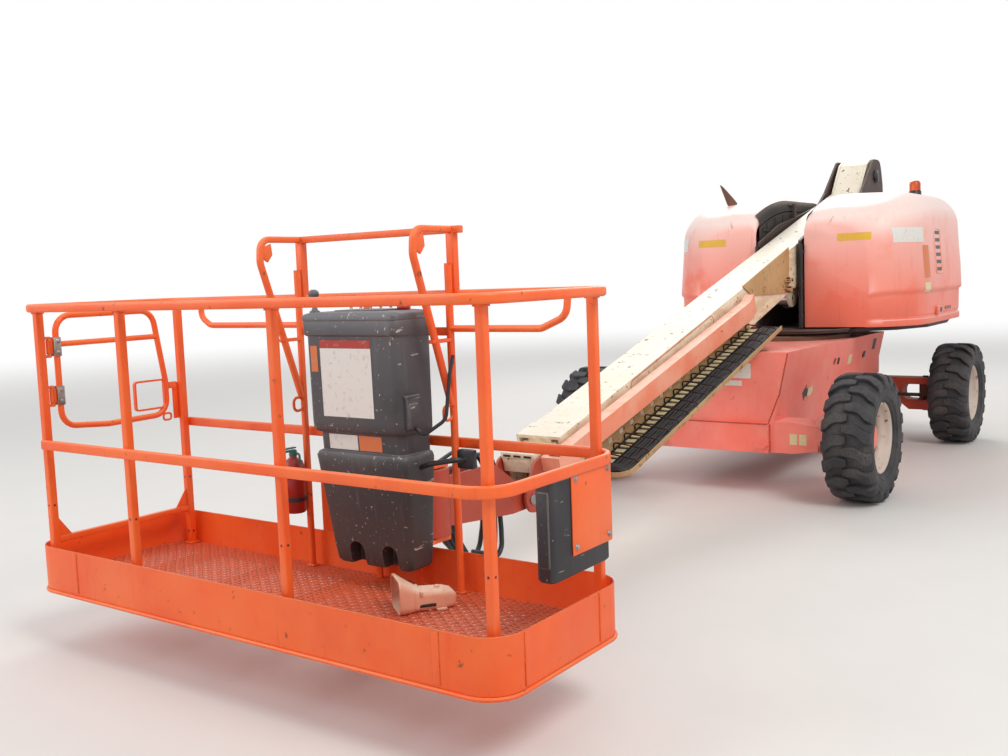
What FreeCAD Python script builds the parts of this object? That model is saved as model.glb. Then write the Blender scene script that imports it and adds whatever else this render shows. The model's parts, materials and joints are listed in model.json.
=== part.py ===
import FreeCAD
import Part
import math
import os

from FreeCAD import Vector, Placement, Rotation

# Telescopic boom lift, millimetres.
# X runs forward along the stowed boom, Y to the boom's left, Z up from the ground.
# Places are counted from the slewing axis, and every finished sub-part is then moved
# by origin_shift, so that the origin lies under the middle of the whole machine.
# Boom pieces are drawn in the boom's own frame, u forward and v up from its pivot.

doc = FreeCAD.newDocument("boom_lift")
sheet = doc.addObject("Spreadsheet::Sheet", "Sizes")

SIZES = [
    ("origin_shift", "-1689"),
    ("wheelbase", "2560"),
    ("track", "1940"),
    ("tyre_od", "820"),
    ("tyre_width", "300"),
    ("lug_height", "26"),
    ("lug_count", "24"),
    ("lug_width", "40"),
    ("rim_flange_radius", "226"),
    ("rim_width", "230"),
    ("rim_plate", "12"),
    ("hub_radius", "75"),
    ("front_overhang", "120"),
    ("rear_overhang", "120"),
    ("body_rear_x", "-750"),
    ("neck_half", "300"),
    ("frame_top_z", "950"),
    ("frame_bottom_z", "290"),
    ("frame_top_half", "530"),
    ("frame_bottom_half", "390"),
    ("frame_wall", "12"),
    ("boom_clear", "22"),
    ("axle_bottom_z", "290"),
    ("axle_height", "205"),
    ("axle_depth", "230"),
    ("steer_beam_depth", "150"),
    ("steer_beam_low_z", "262"),
    ("steer_beam_top_z", "530"),
    ("yoke_gap_height", "130"),
    ("kingpin_half", "720"),
    ("kingpin_radius", "24"),
    ("ring_radius", "470"),
    ("ring_width", "90"),
    ("ring_height", "36"),
    ("deck_gap", "14"),
    ("deck_thick", "25"),
    ("upright_gap", "300"),
    ("upright_thick", "20"),
    ("pivot_x", "-1750"),
    ("pivot_z", "2270"),
    ("boom_slope", "16.2"),
    ("base_width", "254"),
    ("base_height", "300"),
    ("base_wall", "8"),
    ("base_top_v", "-60"),
    ("base_rear_u", "-130"),
    ("base_front_u", "5500"),
    ("fly_width", "204"),
    ("fly_height", "236"),
    ("fly_wall", "8"),
    ("fly_rear_u", "300"),
    ("fly_front_u", "5660"),
    ("pin_radius", "32"),
    ("run_gap", "0.2"),
    ("tray_width", "235"),
    ("tray_rear_u", "3020"),
    ("tray_front_u", "5300"),
    ("tray_low_v", "-365"),
    ("link_pitch", "64"),
    ("cyl_base_x", "-1640"),
    ("cyl_base_z", "1130"),
    ("cyl_pin_u", "2050"),
    ("cyl_pin_v", "-460"),
    ("cyl_bore_radius", "62"),
    ("cyl_rod_radius", "40"),
    ("hood_inner", "190"),
    ("hood_outer", "1000"),
    ("hood_front_x", "130"),
    ("hood_rear_x", "-1700"),
    ("hood_bottom_z", "1031"),
    ("hood_top_z", "2060"),
    ("hood_wall", "10"),
    ("level_u", "5800"),
    ("level_v", "-250"),
    ("level_pin_radius", "25"),
    ("rotator_x", "4400"),
    ("rotator_z", "520"),
    ("rotator_radius", "95"),
    ("platform_x", "5180"),
    ("platform_half_x", "380"),
    ("platform_half_y", "1220"),
    ("platform_corner", "120"),
    ("platform_floor_z", "300"),
    ("platform_rail_z", "1461"),
    ("platform_mid_z", "880"),
    ("toe_top_z", "450"),
    ("toe_bottom_z", "262"),
    ("rail_size", "34"),
    ("mid_rail_width", "20"),
    ("post_size", "32"),
    ("gate_inset", "110"),
    ("guard_top_z", "1700"),
    ("console_y", "200"),
    ("console_width", "420"),
]

row = 0
for alias, text in SIZES:
    row = row + 1
    sheet.set("A%d" % row, alias)
    sheet.set("B%d" % row, text)
    sheet.setAlias("B%d" % row, alias)
doc.recompute()


def size(alias):
    return float(getattr(sheet, alias))


slope = size("boom_slope")
cos_slope = math.cos(math.radians(slope))
sin_slope = math.sin(math.radians(slope))
pivot_x = size("pivot_x")
pivot_z = size("pivot_z")
boom_place = Placement(Vector(pivot_x, 0, pivot_z), Rotation(Vector(0, 1, 0), slope))
run_gap = size("run_gap")
parts = []


# Helpers

def set_length(obj, prop, value):
    if isinstance(value, str):
        obj.setExpression(prop, value)
    else:
        setattr(obj, prop, value)


def box(name, x0, x1, y0, y1, z0, z1, bound=None):
    obj = doc.addObject("Part::Box", name)
    obj.Length = abs(x1 - x0)
    obj.Width = abs(y1 - y0)
    obj.Height = abs(z1 - z0)
    obj.Placement = Placement(Vector(min(x0, x1), min(y0, y1), min(z0, z1)), Rotation())
    for prop, expression in (bound or {}).items():
        obj.setExpression(prop, expression)
    return obj


def cyl(name, centre, direction, radius, length):
    obj = doc.addObject("Part::Cylinder", name)
    set_length(obj, "Radius", radius)
    set_length(obj, "Height", length)
    turn = Rotation(Vector(0, 0, 1), Vector(*direction))
    obj.Placement = Placement(Vector(*centre), turn)
    return obj


def prism(name, sides, centre, direction, radius, length):
    obj = doc.addObject("Part::Prism", name)
    obj.Polygon = sides
    obj.Circumradius = radius
    obj.Height = length
    turn = Rotation(Vector(0, 0, 1), Vector(*direction))
    obj.Placement = Placement(Vector(*centre), turn)
    return obj


def plane_of(body, role):
    for feature in body.Origin.OriginFeatures:
        if feature.Role == role:
            return feature
    return None


def draw_loop(sketch, points):
    count = len(points)
    for i in range(count):
        start = Vector(points[i][0], points[i][1], 0)
        end = Vector(points[(i + 1) % count][0], points[(i + 1) % count][1], 0)
        sketch.addGeometry(Part.LineSegment(start, end), False)


def new_sketch(name, role):
    body = doc.addObject("PartDesign::Body", name)
    sketch = body.newObject("Sketcher::SketchObject", name + "_sketch")
    sketch.AttachmentSupport = [(plane_of(body, role), "")]
    sketch.MapMode = "FlatFace"
    return body, sketch


# A pad on both sides of a plane; bores holds (x, y, radius), windows holds outlines
def pad(name, role, points, length, offset=0.0, bores=(), windows=()):
    body, sketch = new_sketch(name, role)
    draw_loop(sketch, points)
    for x, y, radius in bores:
        sketch.addGeometry(Part.Circle(Vector(x, y, 0), Vector(0, 0, 1), radius), False)
    for window in windows:
        draw_loop(sketch, window)
    feature = body.newObject("PartDesign::Pad", name + "_pad")
    feature.Profile = sketch
    set_length(feature, "Length", length)
    feature.Midplane = True
    shift = {"XY_Plane": (0, 0, offset), "XZ_Plane": (0, offset, 0), "YZ_Plane": (offset, 0, 0)}
    body.Placement = Placement(Vector(*shift[role]), Rotation())
    return body


def turned(name, points):
    body, sketch = new_sketch(name, "XZ_Plane")
    draw_loop(sketch, points)
    feature = body.newObject("PartDesign::Revolution", name + "_turned")
    feature.Profile = sketch
    feature.ReferenceAxis = (sketch, ["V_Axis"])
    feature.Angle = 360.0
    return body


def fuse(name, shapes):
    obj = doc.addObject("Part::MultiFuse", name)
    obj.Shapes = shapes
    return obj


def cut(name, base, tools):
    obj = doc.addObject("Part::Cut", name)
    obj.Base = base
    if len(tools) > 1:
        obj.Tool = fuse(name + "_tools", tools)
    else:
        obj.Tool = tools[0]
    return obj


def common(name, shapes):
    obj = doc.addObject("Part::MultiCommon", name)
    obj.Shapes = shapes
    return obj


def finish(obj, label, tilt=None):
    obj.Label = label
    base = Placement(Vector(size("origin_shift"), 0, 0), Rotation())
    if tilt is None:
        obj.Placement = base.multiply(obj.Placement)
    else:
        obj.Placement = base.multiply(tilt).multiply(obj.Placement)
    parts.append(obj)
    return obj


# An outline's points; a corner with a third number is rounded to that radius
def softened(corners, steps=3):
    points = []
    count = len(corners)
    for i in range(count):
        here = Vector(corners[i][0], corners[i][1], 0)
        if len(corners[i]) == 2:
            points.append((here.x, here.y))
            continue
        radius = corners[i][2]
        following = corners[(i + 1) % count]
        before = Vector(corners[i - 1][0], corners[i - 1][1], 0).sub(here).normalize()
        after = Vector(following[0], following[1], 0).sub(here).normalize()
        half = before.getAngle(after) / 2
        middle = before.add(after).normalize()
        centre = here.add(middle.multiply(radius / math.sin(half)))
        reach = radius / math.tan(half)
        first = here.add(Vector(before).multiply(reach)).sub(centre)
        last = here.add(Vector(after).multiply(reach)).sub(centre)
        turn = first.getAngle(last)
        if first.cross(last).z < 0:
            turn = -turn
        base = math.atan2(first.y, first.x)
        for k in range(steps + 1):
            angle = base + turn * k / steps
            points.append((centre.x + radius * math.cos(angle), centre.y + radius * math.sin(angle)))
    return points


def rounded(cx, cy, half_x, half_y, radius, steps=4):
    corners = [
        (cx + half_x, cy + half_y, radius),
        (cx - half_x, cy + half_y, radius),
        (cx - half_x, cy - half_y, radius),
        (cx + half_x, cy - half_y, radius),
    ]
    return softened(corners, steps)


# A hoop of flat stock round the platform
def hoop(name, cx, cy, half_x, half_y, radius, width, z0, z1):
    outline = rounded(cx, cy, half_x, half_y, radius)
    opening = rounded(cx, cy, half_x - width, half_y - width, radius - width)
    return pad(name, "XY_Plane", outline, z1 - z0, (z0 + z1) / 2, windows=[opening])


# Square bars end to end, each a little longer than its run so that they join
def square_tube(name, path, side):
    bars = []
    for i in range(len(path) - 1):
        a = Vector(*path[i])
        along = Vector(*path[i + 1]).sub(a)
        bar = doc.addObject("Part::Box", "%s_%d" % (name, i))
        bar.Length = side
        bar.Width = side
        bar.Height = along.Length + side * 0.5
        turn = Rotation(Vector(0, 0, 1), along)
        start = a.sub(Vector(along).normalize().multiply(side * 0.25))
        corner = turn.multVec(Vector(-side / 2, -side / 2, 0))
        bar.Placement = Placement(start.add(corner), turn)
        bars.append(bar)
    return bars


# Round bars end to end, each run past its bend by a share of the radius
def round_tube(name, path, radius):
    bars = []
    for i in range(len(path) - 1):
        a = Vector(*path[i])
        along = Vector(*path[i + 1]).sub(a)
        unit = Vector(along).normalize()
        past = radius * 0.4
        start = a.sub(Vector(unit).multiply(past))
        centre = (start.x, start.y, start.z)
        bars.append(cyl("%s_%d" % (name, i), centre, (unit.x, unit.y, unit.z), radius, along.Length + 2 * past))
    return bars


# A many-sided ring solid from a closed section of (radius, height) pairs
def many_sided(section, sides):
    rings = []
    for radius, height in section:
        ring = []
        for k in range(sides):
            angle = 2 * math.pi * (k + 0.5) / sides
            ring.append(Vector(radius * math.cos(angle), radius * math.sin(angle), height))
        rings.append(ring)
    faces = []
    for i in range(len(rings)):
        near = rings[i]
        far = rings[(i + 1) % len(rings)]
        for k in range(sides):
            j = (k + 1) % sides
            quad = Part.makePolygon([near[k], near[j], far[j], far[k], near[k]])
            faces.append(Part.Face(quad))
    solid = Part.makeSolid(Part.makeShell(faces))
    solid.fix(0.001, 0.001, 0.001)
    if solid.Volume < 0:
        solid.reverse()
    return solid


def shaped(name, shape, place):
    obj = doc.addObject("Part::Feature", name)
    obj.Shape = shape
    obj.Placement = place
    return obj


# Named positions

half_base = size("wheelbase") / 2
half_track = size("track") / 2
tyre_radius = size("tyre_od") / 2
hub_z = tyre_radius
frame_front = half_base + size("front_overhang")
frame_rear = -half_base - size("rear_overhang")
body_rear = size("body_rear_x")
wall = size("frame_wall")
top_z = size("frame_top_z")
low_z = size("frame_bottom_z")
top_half = size("frame_top_half")
low_half = size("frame_bottom_half")
axle_low = size("axle_bottom_z")
axle_top = axle_low + size("axle_height")
king = size("kingpin_half")
beam_low = size("steer_beam_low_z")
beam_top = size("steer_beam_top_z")
beam_half = size("steer_beam_depth") / 2
steer_x = -half_base
drive_x = frame_front - 5 - size("axle_depth") / 2
pin_r = size("pin_radius")

# Chassis frame: a tapered hollow body over the drive axle and a neck over the steer axle

knee_share = 0.58
knee_half = low_half + knee_share * (top_half - low_half)
knee_z = low_z + knee_share * (top_z - low_z)


def body_outline(inset):
    return [
        (-low_half + inset, low_z + inset),
        (low_half - inset, low_z + inset),
        (knee_half - inset, knee_z),
        (top_half - inset, top_z - inset),
        (-top_half + inset, top_z - inset),
        (-knee_half + inset, knee_z),
    ]


def neck_outline(inset):
    return [
        (body_rear + 2, top_z - 60 - inset),
        (body_rear + 2, beam_top - 40 + inset),
        (body_rear - 260, beam_top + 10 + inset),
        (frame_rear + inset, beam_top + 20 + inset),
        (frame_rear + inset, beam_top + 220 - inset),
        (frame_rear + 170, beam_top + 290 - inset),
    ]


body_length = frame_front - body_rear
body_middle = (frame_front + body_rear) / 2
body_bound = "Sizes.wheelbase / 2 + Sizes.front_overhang - Sizes.body_rear_x"
frame_shell = pad("frame_shell", "YZ_Plane", body_outline(0), body_bound, body_middle)
frame_void = pad("frame_void", "YZ_Plane", body_outline(wall), body_length - 2 * wall, body_middle)
neck_shell = pad("neck_shell", "XZ_Plane", neck_outline(0), "2 * Sizes.neck_half")
neck_void = pad("neck_void", "XZ_Plane", neck_outline(wall), "2 * Sizes.neck_half - 2 * Sizes.frame_wall")
side_hole_z = top_z - 150
side_holes = []
for hole_x in (380, -300):
    hole = cyl("frame_side_hole_%d" % (hole_x + 300), (hole_x, -top_half - 20, side_hole_z), (0, 1, 0), 28, 2 * top_half + 40)
    side_holes.append(hole)
floor_reach = half_base - size("axle_depth") - 40
floor_gap = box("frame_floor_gap", body_rear + 80, floor_reach, -low_half + 60, low_half - 60, low_z - 10, low_z + wall + 10)
axle_near = drive_x - size("axle_depth") / 2
axle_far = drive_x + size("axle_depth") / 2
drive_slot = box("drive_slot", axle_near, axle_far, -top_half, top_half, axle_low, axle_top)
tray_low_v = size("tray_low_v")
boom_relief = box("boom_relief", 2000, 7000, -top_half, top_half, tray_low_v - size("boom_clear"), 400)
boom_relief.Placement = boom_place.multiply(boom_relief.Placement)
frame_voids = [frame_void, neck_void, floor_gap, drive_slot, boom_relief] + side_holes
frame_open = cut("frame_open", fuse("frame_joined", [frame_shell, neck_shell]), frame_voids)

# Tie-down tabs with their eyes, and the clevis that carries the steer axle

step_depth = 30
eye_r = 20
tab_long = 62
tab_thick = 20
front_eye_y = low_half - 20
rear_eye_y = size("neck_half") - 80
front_tab_z = low_z + 40
rear_tab_z = beam_top + 30
step_front = box("frame_step_front", frame_front - 2, frame_front + step_depth, -low_half - 10, low_half + 10, low_z, axle_top - 15)
step_rear = box("frame_step_rear", frame_rear - step_depth, frame_rear + 2, -rear_eye_y - 40, rear_eye_y + 40, beam_top + 24, beam_top + 160)
tabs = []
eyes = []
tab_rows = [
    (1, frame_front + step_depth, front_eye_y, front_tab_z),
    (-1, frame_rear - step_depth, rear_eye_y, rear_tab_z),
]
for sx, tab_x, eye_y, tab_z in tab_rows:
    for sy in (-1, 1):
        tag = "%d_%d" % (sx, sy)
        tab = box("tab_" + tag, tab_x, tab_x + sx * tab_long, sy * eye_y - 32, sy * eye_y + 32, tab_z, tab_z + tab_thick)
        tabs.append(tab)
        eye_x = tab_x + sx * (tab_long - eye_r - 10)
        eyes.append(cyl("eye_" + tag, (eye_x, sy * eye_y, tab_z - 10), (0, 0, 1), eye_r, tab_thick + 20))
clevis = []
clevis_thick = 12
pivot_pin_z = (beam_low + beam_top) / 2
for sx in (-1, 1):
    near_x = steer_x + sx * (beam_half + 1)
    clevis.append(box("clevis_%d" % sx, near_x, near_x + sx * clevis_thick, -60, 60, pivot_pin_z - 45, beam_top + 60))
clevis_long = 2 * (beam_half + 1 + clevis_thick)
clevis.append(cyl("clevis_pin", (steer_x - clevis_long / 2, 0, pivot_pin_z), (1, 0, 0), pin_r, clevis_long))
frame_solid = fuse("frame_solid", [frame_open, step_front, step_rear] + tabs + clevis)
finish(cut("frame_final", frame_solid, eyes), "chassis_frame")

# Slewing ring on the frame

ring_r = size("ring_radius")
ring_in = ring_r - size("ring_width")
ring_top = top_z + size("ring_height")
ring_points = [
    (ring_in, top_z),
    (ring_r, top_z),
    (ring_r, ring_top - 8),
    (ring_r - 20, ring_top),
    (ring_in, ring_top),
]
finish(turned("slewing_ring_body", ring_points), "slewing_ring")

# Drive axle: a box beam with hub drums

hub_r = size("hub_radius")
hub_face = half_track + 8
drum_in = 700
axle_taper = 25
drive_outline = [
    (-king, axle_low + axle_taper),
    (-king + 160, axle_low),
    (king - 160, axle_low),
    (king, axle_low + axle_taper),
    (king, axle_top - axle_taper),
    (king - 160, axle_top),
    (-king + 160, axle_top),
    (-king, axle_top - axle_taper),
]
drive_pieces = [pad("drive_beam", "YZ_Plane", drive_outline, "Sizes.axle_depth", drive_x)]
for sy in (-1, 1):
    drum_long = hub_face - 50 - drum_in
    drive_pieces.append(cyl("drive_drum_%d" % sy, (half_base, sy * drum_in, hub_z), (0, sy, 0), 125, drum_long))
    face_long = hub_face - run_gap - drum_in - 60
    drive_pieces.append(cyl("drive_face_%d" % sy, (half_base, sy * (drum_in + 60), hub_z), (0, sy, 0), 100, face_long))
    nose_long = hub_face - drum_in
    drive_pieces.append(cyl("drive_nose_%d" % sy, (half_base, sy * (drum_in + 60), hub_z), (0, sy, 0), "Sizes.hub_radius", nose_long))
finish(fuse("drive_axle_fuse", drive_pieces), "drive_axle")

# Steer axle: a deep beam whose ends are open yokes round the kingpins

yoke_low = hub_z - size("yoke_gap_height") / 2
yoke_top = hub_z + size("yoke_gap_height") / 2
yoke_in = 170
steer_outline = softened([
    (-king - 45, beam_low),
    (-king + 120, beam_low),
    (-king + 190, beam_low + 58, 80),
    (king - 190, beam_low + 58, 80),
    (king - 120, beam_low),
    (king + 45, beam_low),
    (king + 45, beam_top - 20),
    (king + 10, beam_top),
    (-king - 10, beam_top),
    (-king - 45, beam_top - 20),
])
steer_beam = pad("steer_beam", "YZ_Plane", steer_outline, "Sizes.steer_beam_depth", steer_x)
yoke_gaps = [cyl("beam_bore", (steer_x - 200, 0, pivot_pin_z), (1, 0, 0), pin_r + run_gap, 400)]
for sy in (-1, 1):
    gap_outline = softened([
        (sy * (king - yoke_in), yoke_low, 50),
        (sy * (king + 60), yoke_low),
        (sy * (king + 60), yoke_top),
        (sy * (king - yoke_in), yoke_top, 50),
    ])
    yoke_gaps.append(pad("yoke_gap_%d" % sy, "YZ_Plane", gap_outline, 2 * beam_half + 40, steer_x))
    bore_low = (steer_x, sy * king, beam_low - 20)
    yoke_gaps.append(cyl("yoke_bore_%d" % sy, bore_low, (0, 0, 1), size("kingpin_radius") + run_gap, beam_top - beam_low + 40))
finish(cut("steer_cut", steer_beam, yoke_gaps), "steer_axle")

# Knuckles: a round block on the kingpin, a spindle with its flange, and a steering arm

block_r = 50
spindle_r = 43
arm_low = yoke_low + 6
arm_thick = 22
arm_reach = 190
for sy, name in ((1, "left"), (-1, "right")):
    block_low = yoke_low + run_gap
    block = cyl("knuckle_block_" + name, (steer_x, sy * king, block_low), (0, 0, 1), block_r, yoke_top - yoke_low - 2 * run_gap)
    pin = cyl("knuckle_pin_" + name, (steer_x, sy * king, beam_low - 12), (0, 0, 1), "Sizes.kingpin_radius", beam_top - beam_low + 24)
    spindle_long = hub_face - king - 30
    spindle = cyl("knuckle_spindle_" + name, (steer_x, sy * king, hub_z), (0, sy, 0), spindle_r, spindle_long)
    flange = cyl("knuckle_flange_" + name, (steer_x, sy * (hub_face - 70), hub_z), (0, sy, 0), 100, 70 - run_gap)
    nose = cyl("knuckle_nose_" + name, (steer_x, sy * (hub_face - 70), hub_z), (0, sy, 0), "Sizes.hub_radius", 110)
    arm = box("knuckle_arm_" + name, steer_x, steer_x + arm_reach, sy * king - 14, sy * king + 14, arm_low, arm_low + arm_thick)
    finish(fuse("knuckle_fuse_" + name, [block, pin, spindle, flange, nose, arm]), "steering_knuckle_" + name)

# Steering cylinder clamped to the steer beam

steer_barrel_r = 34
cyl_z = arm_low + arm_thick + 6 + 15
cyl_x = steer_x + beam_half + 50
barrel_half = 260
clamp_y = 220
steer_pieces = [
    cyl("steer_barrel", (cyl_x, -barrel_half, cyl_z), (0, 1, 0), steer_barrel_r, 2 * barrel_half),
    cyl("steer_rod", (cyl_x, -king + 20, cyl_z), (0, 1, 0), 15, 2 * king - 40),
]
for sy in (-1, 1):
    clamp_low = cyl_z - steer_barrel_r - 8
    clamp = box("steer_clamp_%d" % sy, steer_x + beam_half, cyl_x + 40, sy * clamp_y - 20, sy * clamp_y + 20, clamp_low, cyl_z + 42)
    steer_pieces.append(clamp)
finish(fuse("steer_cylinder_fuse", steer_pieces), "steering_cylinder")

# Wheels: a many-sided tyre with slanted lug bars, seated on a dished rim

tread_radius = tyre_radius - size("lug_height")
half_w = size("tyre_width") / 2
rim_r = size("rim_flange_radius")
rim_half = size("rim_width") / 2
seat_r = rim_r - 16
well_r = rim_r - 40
lug_count = int(size("lug_count"))
side_bulge = half_w - 8
tyre_half_section = [
    (seat_r, rim_half - 12),
    (rim_r + 24, half_w - 22),
    (rim_r + 98, side_bulge),
    (tread_radius - 12, half_w - 30),
    (tread_radius, half_w - 90),
]
tyre_section = tyre_half_section + [(r, -z) for r, z in reversed(tyre_half_section)]
plate_out = 20.0
plate_in = plate_out - size("rim_plate")
hub_bore = (hub_r + run_gap) / math.cos(math.pi / lug_count)
rim_section = [
    (rim_r, rim_half + 4),
    (seat_r, rim_half - 12),
    (seat_r, rim_half - 42),
    (well_r, rim_half - 58),
    (well_r, -rim_half + 58),
    (seat_r, -rim_half + 42),
    (seat_r, -rim_half + 12),
    (rim_r, -rim_half - 4),
    (rim_r - 9, -rim_half - 4),
    (seat_r - 7, -rim_half + 20),
    (well_r - 7, -rim_half + 64),
    (well_r - 7, plate_in + 6),
    (hub_r + 45, plate_in),
    (hub_bore, plate_in),
    (hub_bore, plate_out),
    (hub_r + 45, plate_out),
    (well_r - 7, plate_out + 6),
    (well_r - 7, rim_half - 64),
    (seat_r - 7, rim_half - 20),
    (rim_r - 9, rim_half + 4),
]


def tyre_shape():
    lug_half = size("lug_width") / 2
    lug_slant = 34.0
    lug_root = tread_radius - 14
    lug_tip = math.sqrt(tyre_radius ** 2 - (lug_half + lug_slant) ** 2) - 0.5
    lugs = []
    for i in range(lug_count):
        for side in (-1, 1):
            corners = [
                Vector(lug_root, -lug_half, side * 5),
                Vector(lug_root, lug_half, side * 5),
                Vector(lug_root, lug_half + lug_slant, side * (half_w - 14)),
                Vector(lug_root, -lug_half + lug_slant, side * (half_w - 14)),
            ]
            foot = Part.Face(Part.makePolygon(corners + [corners[0]]))
            lug = foot.extrude(Vector(lug_tip - lug_root, 0, 0))
            lug.rotate(Vector(), Vector(0, 0, 1), 360.0 / lug_count * (i + side * 0.25))
            lugs.append(lug)
    return many_sided(tyre_section, lug_count).multiFuse(lugs)


def rim_shape():
    bolts = []
    bolt_circle = hub_r + 24
    for i in range(8):
        angle = 2 * math.pi * i / 8
        centre = Vector(bolt_circle * math.cos(angle), bolt_circle * math.sin(angle), plate_out - 1)
        corners = []
        for k in range(7):
            turn = 2 * math.pi * k / 6
            corners.append(centre.add(Vector(13 * math.cos(turn), 13 * math.sin(turn), 0)))
        bolts.append(Part.Face(Part.makePolygon(corners)).extrude(Vector(0, 0, 17)))
    return many_sided(rim_section, lug_count).multiFuse(bolts)


tyre_form = tyre_shape()
rim_form = rim_shape()
wheel_rows = [
    ("drive_left", half_base, 1),
    ("drive_right", half_base, -1),
    ("steer_left", steer_x, 1),
    ("steer_right", steer_x, -1),
]
for name, wheel_x, sy in wheel_rows:
    axis = Placement(Vector(wheel_x, sy * half_track, hub_z), Rotation(Vector(1, 0, 0), -90 * sy))
    finish(shaped("tyre_form_" + name, tyre_form, axis), "tyre_" + name)
    finish(shaped("rim_form_" + name, rim_form, axis), "rim_" + name)

# Turntable: deck plate and two uprights that carry the boom pivot

deck_z = ring_top + size("deck_gap")
deck_top = deck_z + size("deck_thick")
gap_half = size("upright_gap") / 2
up_t = size("upright_thick")
hood_in = size("hood_inner")
hood_out = size("hood_outer")
hood_front = size("hood_front_x")
hood_rear = size("hood_rear_x")
hood_top = size("hood_top_z")
tail_x = pivot_x - 330
deck_half = hood_out - 70
deck_outline = [
    (hood_front - 30, -deck_half + 370),
    (hood_front - 30, deck_half - 370),
    (hood_front - 250, deck_half - 130),
    (hood_front - 610, deck_half),
    (-1100, deck_half),
    (hood_rear + 60, deck_half - 100),
    (tail_x, deck_half - 230),
    (tail_x, -deck_half + 230),
    (hood_rear + 60, -deck_half + 100),
    (-1100, -deck_half),
    (hood_front - 610, -deck_half),
    (hood_front - 250, -deck_half + 130),
]
deck = pad("deck_plate", "XY_Plane", deck_outline, "Sizes.deck_thick", deck_z + size("deck_thick") / 2)
upright_outline = softened([
    (hood_front + 20, deck_top - 2),
    (hood_front + 20, hood_top - 370),
    (hood_front - 380, hood_top - 230, 300),
    (pivot_x + 570, pivot_z - 260),
    (pivot_x + 380, pivot_z - 140, 60),
    (pivot_x + 40, pivot_z + 150, 40),
    (pivot_x - 150, pivot_z + 150, 90),
    (pivot_x - 230, pivot_z - 60, 120),
    (pivot_x - 300, deck_top - 2),
], 2)
pivot_hole = (pivot_x, pivot_z, pin_r)
upright_mid = gap_half + up_t / 2
lug_x = size("cyl_base_x")
lug_z = size("cyl_base_z")
lug_outline = softened([
    (lug_x - 90, deck_top - 2),
    (lug_x + 90, deck_top - 2),
    (lug_x + 56, lug_z + 58, 50),
    (lug_x - 56, lug_z + 58, 50),
])
lug_hole = (lug_x, lug_z, pin_r)
lug_mid = 95
turntable_pieces = [deck]
for sy in (-1, 1):
    upright = pad("upright_%d" % sy, "XZ_Plane", upright_outline, "Sizes.upright_thick", sy * upright_mid, [pivot_hole])
    cylinder_lug = pad("cylinder_lug_%d" % sy, "XZ_Plane", lug_outline, 20, sy * lug_mid, [lug_hole])
    turntable_pieces += [upright, cylinder_lug]
race_out = ring_in - run_gap
race_points = [
    (ring_in - 90, ring_top - 26),
    (race_out, ring_top - 26),
    (race_out, deck_z + 1),
    (ring_in - 90, deck_z + 1),
]
turntable_pieces.append(turned("slewing_race", race_points))

# Hinges of the covers: brackets and pins here, sleeves on the covers

hinge_z = hood_top - 60
hinge_y = hood_in - 6
hinge_r = 7.0
hinge_half = 15
hinge_xs = (-620, -1200)
for sy in (-1, 1):
    for hx in hinge_xs:
        tag = "%d_%d" % (sy, -hx)
        x0 = hx - hinge_half
        x1 = hx + hinge_half
        arm = box("hinge_arm_" + tag, x0, x1, sy * gap_half, sy * (gap_half + up_t), hinge_z - 260, hinge_z + 12)
        block = box("hinge_block_" + tag, x0, x1, sy * gap_half, sy * (hinge_y + 10), hinge_z - 12, hinge_z + 12)
        pin = cyl("hinge_pin_" + tag, (hx - 60, sy * hinge_y, hinge_z), (1, 0, 0), hinge_r, 120)
        turntable_pieces += [arm, block, pin]
finish(fuse("turntable_fuse", turntable_pieces), "turntable_frame")

# Pivot pins of the boom and of the lift cylinder

pin_long = size("upright_gap") + 2 * up_t + 28
boom_pin = cyl("boom_pin", (pivot_x, -pin_long / 2, pivot_z), (0, 1, 0), "Sizes.pin_radius", pin_long)
cylinder_pin = cyl("cylinder_pin", (lug_x, -lug_mid - 25, lug_z), (0, 1, 0), "Sizes.pin_radius", 2 * lug_mid + 50)
finish(fuse("pins_fuse", [boom_pin, cylinder_pin]), "pivot_pins")

# Counterweight round the tail

slot_half = gap_half + up_t + 6
weight_front = hood_rear - 12
weight_rear = weight_front - 478
weight_outline = softened([
    (weight_front, -hood_out + 155),
    (weight_rear, -hood_out + 240, 330),
    (weight_rear, hood_out - 240, 330),
    (weight_front, hood_out - 155),
    (weight_front, slot_half),
    (tail_x - 6, slot_half),
    (tail_x - 6, -slot_half),
    (weight_front, -slot_half),
])
weight_high = 630
weight = pad("counterweight_block", "XY_Plane", weight_outline, weight_high, deck_top + weight_high / 2)
shoulder = box("counterweight_shoulder", weight_rear - 100, tail_x - 6, -hood_out, hood_out, deck_top + weight_high - 70, deck_top + weight_high + 70)
finish(cut("counterweight_cut", weight, [shoulder]), "counterweight")

# Engine mass and tank mass under the covers

engine = box("engine_mass", -1500, -520, -hood_out + 180, -slot_half - 84, deck_top, hood_top - 420)
tank = box("tank_mass", -1450, -300, slot_half + 84, hood_out - 200, deck_top, hood_top - 500)
finish(fuse("masses_fuse", [engine, tank]), "engine_and_tanks")

# Covers: plan, side and cross outlines meet in one form, which is then hollowed


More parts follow.
